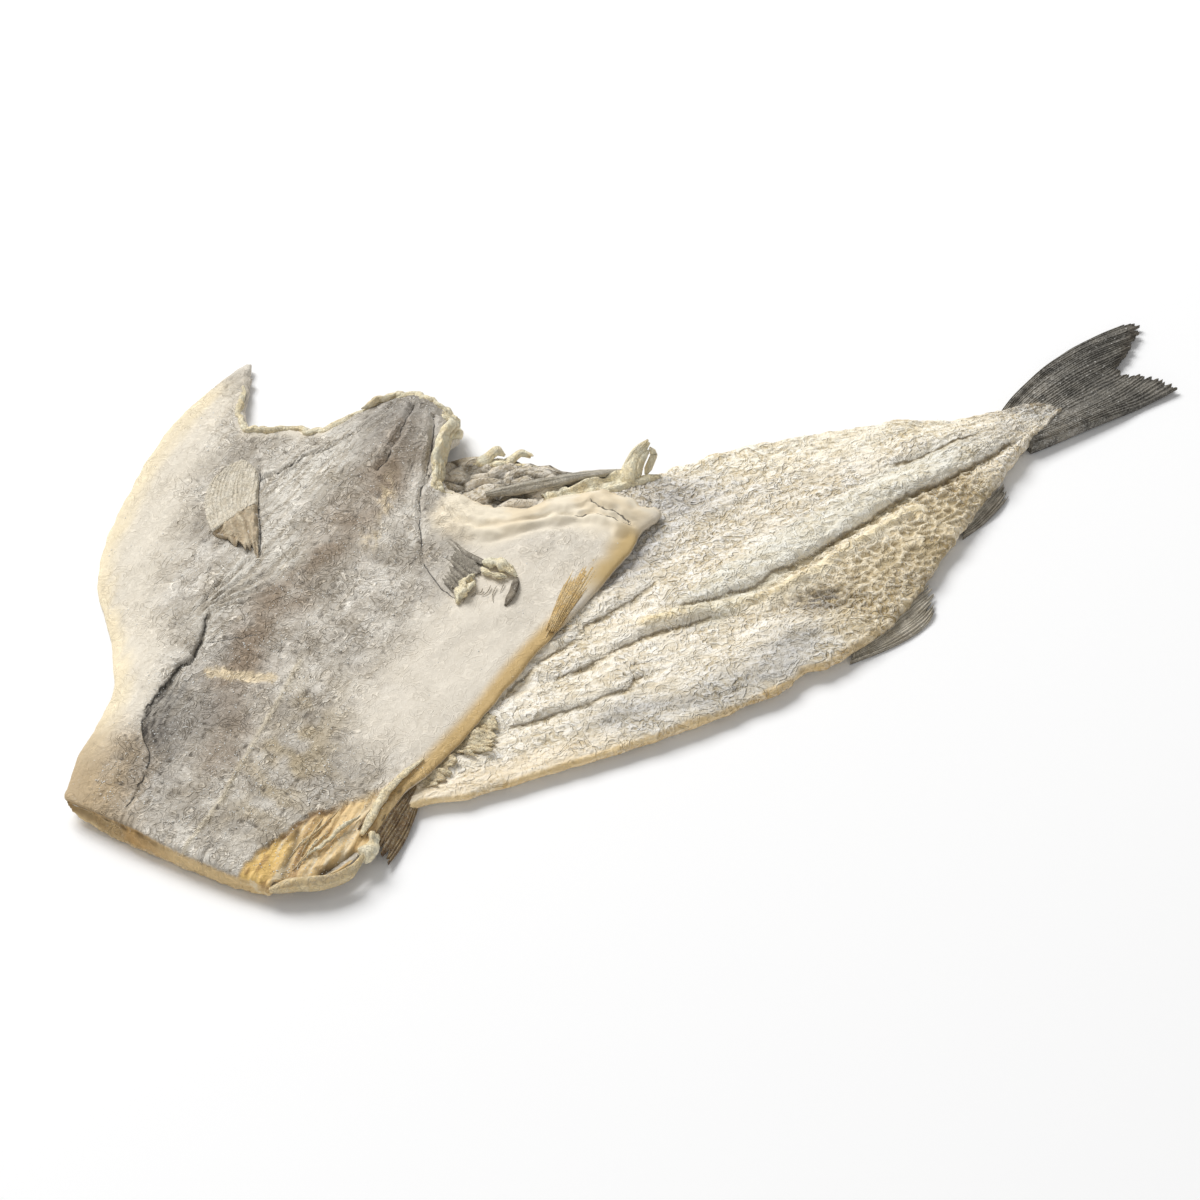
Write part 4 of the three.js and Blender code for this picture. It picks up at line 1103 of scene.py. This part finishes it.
def makePectorals(finish):
    fin = pectorals
    shapes = [leafShape(onSkin, fin["leftRoot"], fin["leftFold"], fin["leftMiddle"], rays=13, columns=26,
                        thickness=(0.5, 1.6), ridge=0.3, wave=0.7, seed=131, lines=0.2, faint=1),
              leafShape(onSkin, fin["leftFold"], fin["leftTip"], rays=6, columns=24, thickness=(1.2, 0.6),
                        ridge=0.6, jag=0.3, wave=2.3, waveCount=(4.5, 4.0), seed=141, lines=0.5, faint=0.5,
                        amber=0.3),
              leafShape(onSkin, fin["rightRoot"], fin["rightTip"], rays=9, columns=26, thickness=(0.4, 0.5),
                        ridge=0.7, jag=0.2, wave=0.8, seed=151, dark=0.85, faint=0.3)]
    for index, (points, radius) in enumerate(fin["bits"]):
        shapes.append(strandShape(onSkin, points, radius, 40, 12, seed=160 + index, lumps=0.8, cream=1,
                                  flat=0.7, swellRun=3.5))
    shapes.append(strandShape(onSkin, fin["oval"], (1.4, 1.5), seed=171, lumps=0.2, flat=0.6, dark=0.75))
    spread = np.random.default_rng(5)
    for index in range(fin["bristles"]):
        place = index / (fin["bristles"] - 1)
        root = (lerp(151, 160, place) + spread.uniform(-1, 1), lerp(-45, -55, place), 0.9)
        end = (root[0] - spread.uniform(3, 8), root[1] - spread.uniform(-2, 3), 0.2)
        points = [root, ((root[0] + end[0]) / 2, root[1] - 0.3, 0.7), end]
        shapes.append(strandShape(onSkin, points, (0.28, 0.12), 8, 5, seed=180 + index, dark=0.6, faint=0.5))
    return makePiece("pectoralFins", joined(shapes), finish)


# Torn cream rim along the nape edge, thickest where the edge drops beside the hump
napeRim = {"from": -22.0, "to": 84.0, "radius": (1.5, 1.3), "strands": 11, "scraps": 12}


def makeNapeRim(finish):
    shapes = []

    def rimPath(start, end, count, inset, drop, seed):
        edge = np.linspace(start, end, count)
        across = (edge - front["napeSpan"][0]) / (front["napeSpan"][1] - front["napeSpan"][0])
        spot = frontSurface(np.full(count, inset), across)
        shift = 0.7 * softNoise(edge / 7, 0 * edge, seed)
        line = lerp(spot["under"], spot["top"], drop) + 0.4 * softNoise(edge / 6, 0 * edge + 4, seed)
        return np.stack([spot["x"] + shift, spot["y"] + 0.5 * shift, line], -1)

    path = rimPath(napeRim["from"], napeRim["to"], 90, 0.985, 0.95, 201)
    shapes.append(strandShape(byPlan, path, napeRim["radius"], 260, 12, lumps=0.5, seed=202, swellRun=10,
                              cream=0.9))
    spread = np.random.default_rng(8)
    for index in range(napeRim["strands"]):
        start = spread.uniform(-19, 2)
        path = rimPath(start, start + spread.uniform(8, 14), 20, spread.uniform(0.965, 1.0),
                       spread.uniform(0.7, 1.35), 210 + index)
        shapes.append(strandShape(byPlan, path, (1.9, 1.4), 70, 12, lumps=0.6, seed=220 + index, swellRun=16,
                                  cream=1))
    for index in range(napeRim["scraps"]):
        start = spread.uniform(4, 74)
        path = rimPath(start, start + spread.uniform(6, 12), 14, spread.uniform(0.975, 1.0),
                       spread.uniform(0.7, 1.2), 240 + index)
        shapes.append(strandShape(byPlan, path, (1.7, 1.0), 40, 9, lumps=0.5, seed=250 + index, cream=0.8))
    return makePiece("napeRim", joined(shapes), finish)


# Shreds of the belly lining: dark rolled strip, cream flap below it, horn at its end and two prongs
shreds = {
    "roll": [(222, 84, 9.5), (232, 78, 10.2), (241, 73, 10.2), (249, 70, 9.8), (256, 66, 9.5),
             (264, 61.5, 9.0)],
    "flapTop": [(265, 61, 1.6), (252, 64.5, 2.2), (244, 67, 2.4), (233, 71, 1.8)],
    "flapLow": [(257, 53, 0.6), (247, 57, 0.8), (239, 60, 0.8), (230, 64, 0.6)],
    "horn": [([(235, 53, 7.5), (239.5, 57, 10), (243.5, 59, 13), (247.5, 59.5, 17), (250, 59, 19.5)],
              (3.0, 1.5)),
             ([(238, 59, 7.5), (241, 60.5, 11), (244, 61, 14.5), (247.5, 60, 18.5), (249.5, 59, 21)],
              (2.4, 1.1)),
             ([(241, 55, 8), (243.5, 57, 12), (246.5, 58, 15), (249, 57.5, 17.2)], (2.0, 1.3)),
             ([(249.5, 58, 18), (250.2, 56.6, 16), (248.5, 56, 13), (245.5, 55, 9)], (1.2, 1.5)),
             ([(228, 59, 8), (233, 55, 8.6), (240, 54, 8.4), (250, 52, 8.0)], (2.0, 1.8))],
    "prongs": [([(200, 99, 5), (204, 98, 8), (208, 97, 11), (209.5, 94, 10)], (3.0, 1.5)),
               ([(206, 95, 6), (207, 92, 8), (209, 91, 8)], (2.4, 1.3)),
               ([(207, 93, 6), (211, 92, 8.5), (215, 91, 10.4), (217, 88, 9.4)], (2.1, 1.0)),
               ([(214, 91, 10), (216, 90, 10.8), (217.5, 87, 10.6)], (0.8, 0.6))],
    "edge": [(237, 107, 6.4), (242, 99, 7.2), (246, 91, 7.4), (249, 84, 7.6)],
}


def makeShreds(finish):
    shapes = [strandShape(byRear, shreds["roll"], (3.4, 1.7), 90, 24, lumps=0.3, seed=301, dark=1, faint=0.75,
                          flat=0.7, swellRun=14),
              leafShape(onFlesh, shreds["flapTop"], shreds["flapLow"], rays=5, columns=16, thickness=(1.4, 0.6),
                        ridge=0.25, wave=0.7, seed=311, cream=1),
              strandShape(byRear, shreds["edge"], (1.5, 1.1), 50, 12, lumps=0.5, seed=312, swellRun=9,
                          cream=0.9)]
    for index, (points, radius) in enumerate(shreds["horn"]):
        shapes.append(strandShape(byPlan, points, radius, 40, 12, lumps=0.3, seed=320 + index, swellRun=10,
                                  cream=1))
    for index, (points, radius) in enumerate(shreds["prongs"]):
        shapes.append(strandShape(byPlan, points, radius, 30, 11, lumps=0.4, seed=330 + index, cream=1))
    return makePiece("liningShreds", joined(shapes), finish)


# Torn corner at the fold: curled strip, lump, brown ray fin and the strip above it, loose fibres
corner = {
    "curl": [(-3, -43, 6.4), (2, -49, 7.0), (7, -56.5, 7.4), (13, -62, 7.4), (19, -65, 7.6), (25, -65.5, 8.2)],
    "lump": [(24, -66, 6.2), (29, -66, 7.2), (33, -65, 7.4), (37, -64, 6.6)],
    "finRoot": [(67, -64, 8.8), (66, -66, 6), (65, -68, 3.5)],
    "finMiddle": [(48, -59, 9.8), (48, -66, 6.6), (47, -72, 2.6)],
    "finTip": [(32, -59, 9.4), (32, -66, 6.6), (30, -72.5, 2.6)],
    "strip": [(73, -65, 0.6), (62, -62, 1.2), (50, -60.5, 1.6), (32, -61, 1.4)],
    "ridge": [(39, -57, 1.2), (31, -54, 1.4), (22, -52, 1.4), (14, -49, 1.0)],
    "fibres": 7,
}


def makeCorner(finish):
    shapes = [strandShape(byFront, corner["curl"], (1.5, 1.4), 60, 14, lumps=0.35, seed=401, flat=1.9,
                          swellRun=12, cream=0.4, amber=1),
              strandShape(byFront, corner["lump"], (2.4, 2.0), 40, 14, lumps=0.7, seed=402, swellRun=4,
                          cream=0.9, amber=1),
              leafShape(byFront, corner["finRoot"], corner["finTip"], corner["finMiddle"], rays=13, columns=36,
                        thickness=(2.0, 0.8), ridge=0.6, jag=0.16, wave=0.8, seed=411, dark=0.1),
              strandShape(onSkin, corner["strip"], (1.3, 2.3), 50, 12, lumps=0.2, seed=421, flat=0.55,
                          cream=0.75, amber=1),
              strandShape(onSkin, corner["ridge"], (0.8, 0.7), 40, 10, lumps=0.3, seed=422, cream=0.9)]
    spread = np.random.default_rng(12)
    for index in range(corner["fibres"]):
        start = (spread.uniform(18, 40), spread.uniform(-55, -45))
        run = spread.uniform(10, 22)
        lean = spread.uniform(-0.25, 0.1)
        points = [(start[0] - run * k, start[1] - run * lean * k, 0.1 + 0.5 * math.sin(math.pi * k))
                  for k in (0, 0.35, 0.7, 1)]
        shapes.append(strandShape(onSkin, points, (0.32, 0.2), 20, 7, lumps=0.3, seed=430 + index,
                                  cream=spread.uniform(0.4, 1), amber=0.6))
    return makePiece("tornCorner", joined(shapes), finish)


# Torn membrane on the flesh beside the front half's margin
tornFlesh = {
    "flapRoot": [(90, -18, 0.3), (100, -18, 0.4), (116, -12, 0.4)],
    "flapTip": [(93, -37, 1.8), (98, -36, 2.6), (106, -30, 2.2), (114, -23, 1.4)],
    "tongueRoot": [(92, -18, 0.3), (82, -18, 0.4), (68, -24, 0.3)],
    "tongueTip": [(90, -29, 1.4), (87, -32, 1.4), (82, -35, 1.2), (72, -37, 0.8)],
}


def makeTornFlesh(finish):
    torn = tornFlesh
    shapes = [leafShape(onFlesh, torn["flapRoot"], torn["flapTip"], rays=9, columns=22, thickness=(0.8, 0.6),
                        ridge=0.4, jag=0.3, wave=1.3, seed=501, cream=0.7, amber=0.5),
              leafShape(onFlesh, torn["tongueRoot"], torn["tongueTip"], rays=7, columns=18,
                        thickness=(0.8, 0.6), ridge=0.3, jag=0.2, wave=0.9, seed=511, cream=0.6, amber=0.6)]
    return makePiece("tornMembrane", joined(shapes), finish)


# Salt: eight-sided grains strewn over skin and flesh, thicker in drifts
salt = {"skin": 6000, "flesh": 4000, "size": (0.08, 0.24)}


def makeSalt():
    spread = np.random.default_rng(77)

    def drifts(count, surface, low, high):  # random places kept where a broad noise is high
        place = spread.uniform(low, high, (count * 3, 2))
        spot = surface(place[:, 0], place[:, 1])
        wanted = 0.45 + layeredNoise(spot["along"] / 16, spot["offset"] / 16, 601, 3) - spot["bare"]
        order = np.argsort(-(wanted + spread.normal(0, 0.3, len(wanted))))[:count]
        return np.stack([spot["x"], spot["y"], spot["top"]], -1)[order]

    def skin(share, across):
        spot = frontSurface(share, across)
        spot["bare"] = (1.2 * spot["masks"]["collar"] + 0.8 * spot["masks"]["pale"]
                        + 0.7 * spot["masks"]["cream"])
        return spot

    def flesh(along, across):
        spot = rearSurface(along, across)
        spot["bare"] = 0.4 * spot["masks"]["lining"]
        return spot

    places = [drifts(salt["skin"], skin, (0.01, 0.02), (0.98, 0.98)),
              drifts(salt["flesh"], flesh, (80, 0.02), (rear["length"] - 3, 0.97))]
    centre = np.concatenate(places)
    size = spread.uniform(*salt["size"], len(centre)) * spread.uniform(0.6, 1.4, len(centre)) ** 2
    form = np.array([(1, 0, 0), (-1, 0, 0), (0, 1, 0), (0, -1, 0), (0, 0, 1), (0, 0, -1)], float)
    faces = np.array([(0, 2, 4), (2, 1, 4), (1, 3, 4), (3, 0, 4), (2, 0, 5), (1, 2, 5), (3, 1, 5), (0, 3, 5)])
    turn = spread.uniform(0, np.pi, len(centre))
    cosine, sine = np.cos(turn), np.sin(turn)
    spin = np.stack([np.stack([cosine, -sine], -1), np.stack([sine, cosine], -1)], 1)
    grains = np.repeat(form[None], len(centre), 0) * spread.uniform(0.7, 1.3, (len(centre), 1, 3))
    grains[..., :2] = np.einsum("nij,nkj->nki", spin, grains[..., :2])
    points = centre[:, None] + grains * size[:, None, None]
    tris = (faces[None] + 6 * np.arange(len(centre))[:, None, None]).reshape(-1, 3)
    shape = {"points": points.reshape(-1, 3), "quads": np.zeros((0, 4), int), "tris": tris, "masks": {}}
    return makePiece("saltGrains", shape, plainFinish("saltFinish", paint(240, 239, 234), 0.4))


makeRear()
makeFront()
makeTail()
finPaint = finFinish()
for makeIt in (makeMarginFins, makePectorals, makeNapeRim, makeShreds, makeCorner, makeTornFlesh):
    makeIt(finPaint)
makeSalt()

# Floor, light and camera
stage = {"floor": 6.0, "key": 124.0, "keySize": 1.9, "keyPlace": (-0.1, 2.4, 2.6),
         "fill": 6.0, "fillSize": 1.6, "fillPlace": (-1.2, -1.5, 1.1), "world": 0.31}
shot = {"target": (-0.0247, -0.0515, 0.0), "azimuth": -37.0, "elevation": 42.0, "distance": 1.5, "lens": 125.0}


def makeStage():
    half = stage["floor"] / 2
    mesh = bpy.data.meshes.new("floor")
    square = [(-half, -half, 0), (half, -half, 0), (half, half, 0), (-half, half, 0)]
    mesh.from_pydata(square, [], [(0, 1, 2, 3)])
    floor = bpy.data.objects.new("floor", mesh)
    bpy.context.scene.collection.objects.link(floor)
    mesh.materials.append(plainFinish("floorFinish", (1, 1, 1, 1), 0.9))
    world = bpy.data.worlds.new("softWorld")
    bpy.context.scene.world = world
    world.use_nodes = True
    world.node_tree.nodes["Background"].inputs["Color"].default_value = (1, 1, 1, 1)
    world.node_tree.nodes["Background"].inputs["Strength"].default_value = stage["world"]
    for name in ("key", "fill"):
        data = bpy.data.lights.new(name, "AREA")
        data.energy, data.size = stage[name], stage[name + "Size"]
        light = bpy.data.objects.new(name, data)
        light.location = stage[name + "Place"]
        light.rotation_euler = Vector(stage[name + "Place"]).to_track_quat("Z", "Y").to_euler()
        bpy.context.scene.collection.objects.link(light)
    bpy.context.scene.view_settings.view_transform = "Standard"
    print("floor and lights set")


def makeCamera():
    a, e = math.radians(shot["azimuth"]), math.radians(shot["elevation"])
    back = Vector((math.sin(a) * math.cos(e), -math.cos(a) * math.cos(e), math.sin(e)))
    data = bpy.data.cameras.new("camera")
    data.lens, data.sensor_width = shot["lens"], 36.0
    camera = bpy.data.objects.new("camera", data)
    camera.location = Vector(shot["target"]) + back * shot["distance"]
    camera.rotation_euler = back.to_track_quat("Z", "Y").to_euler()
    bpy.context.scene.collection.objects.link(camera)
    bpy.context.scene.camera = camera
    print("camera set")


makeStage()
makeCamera()
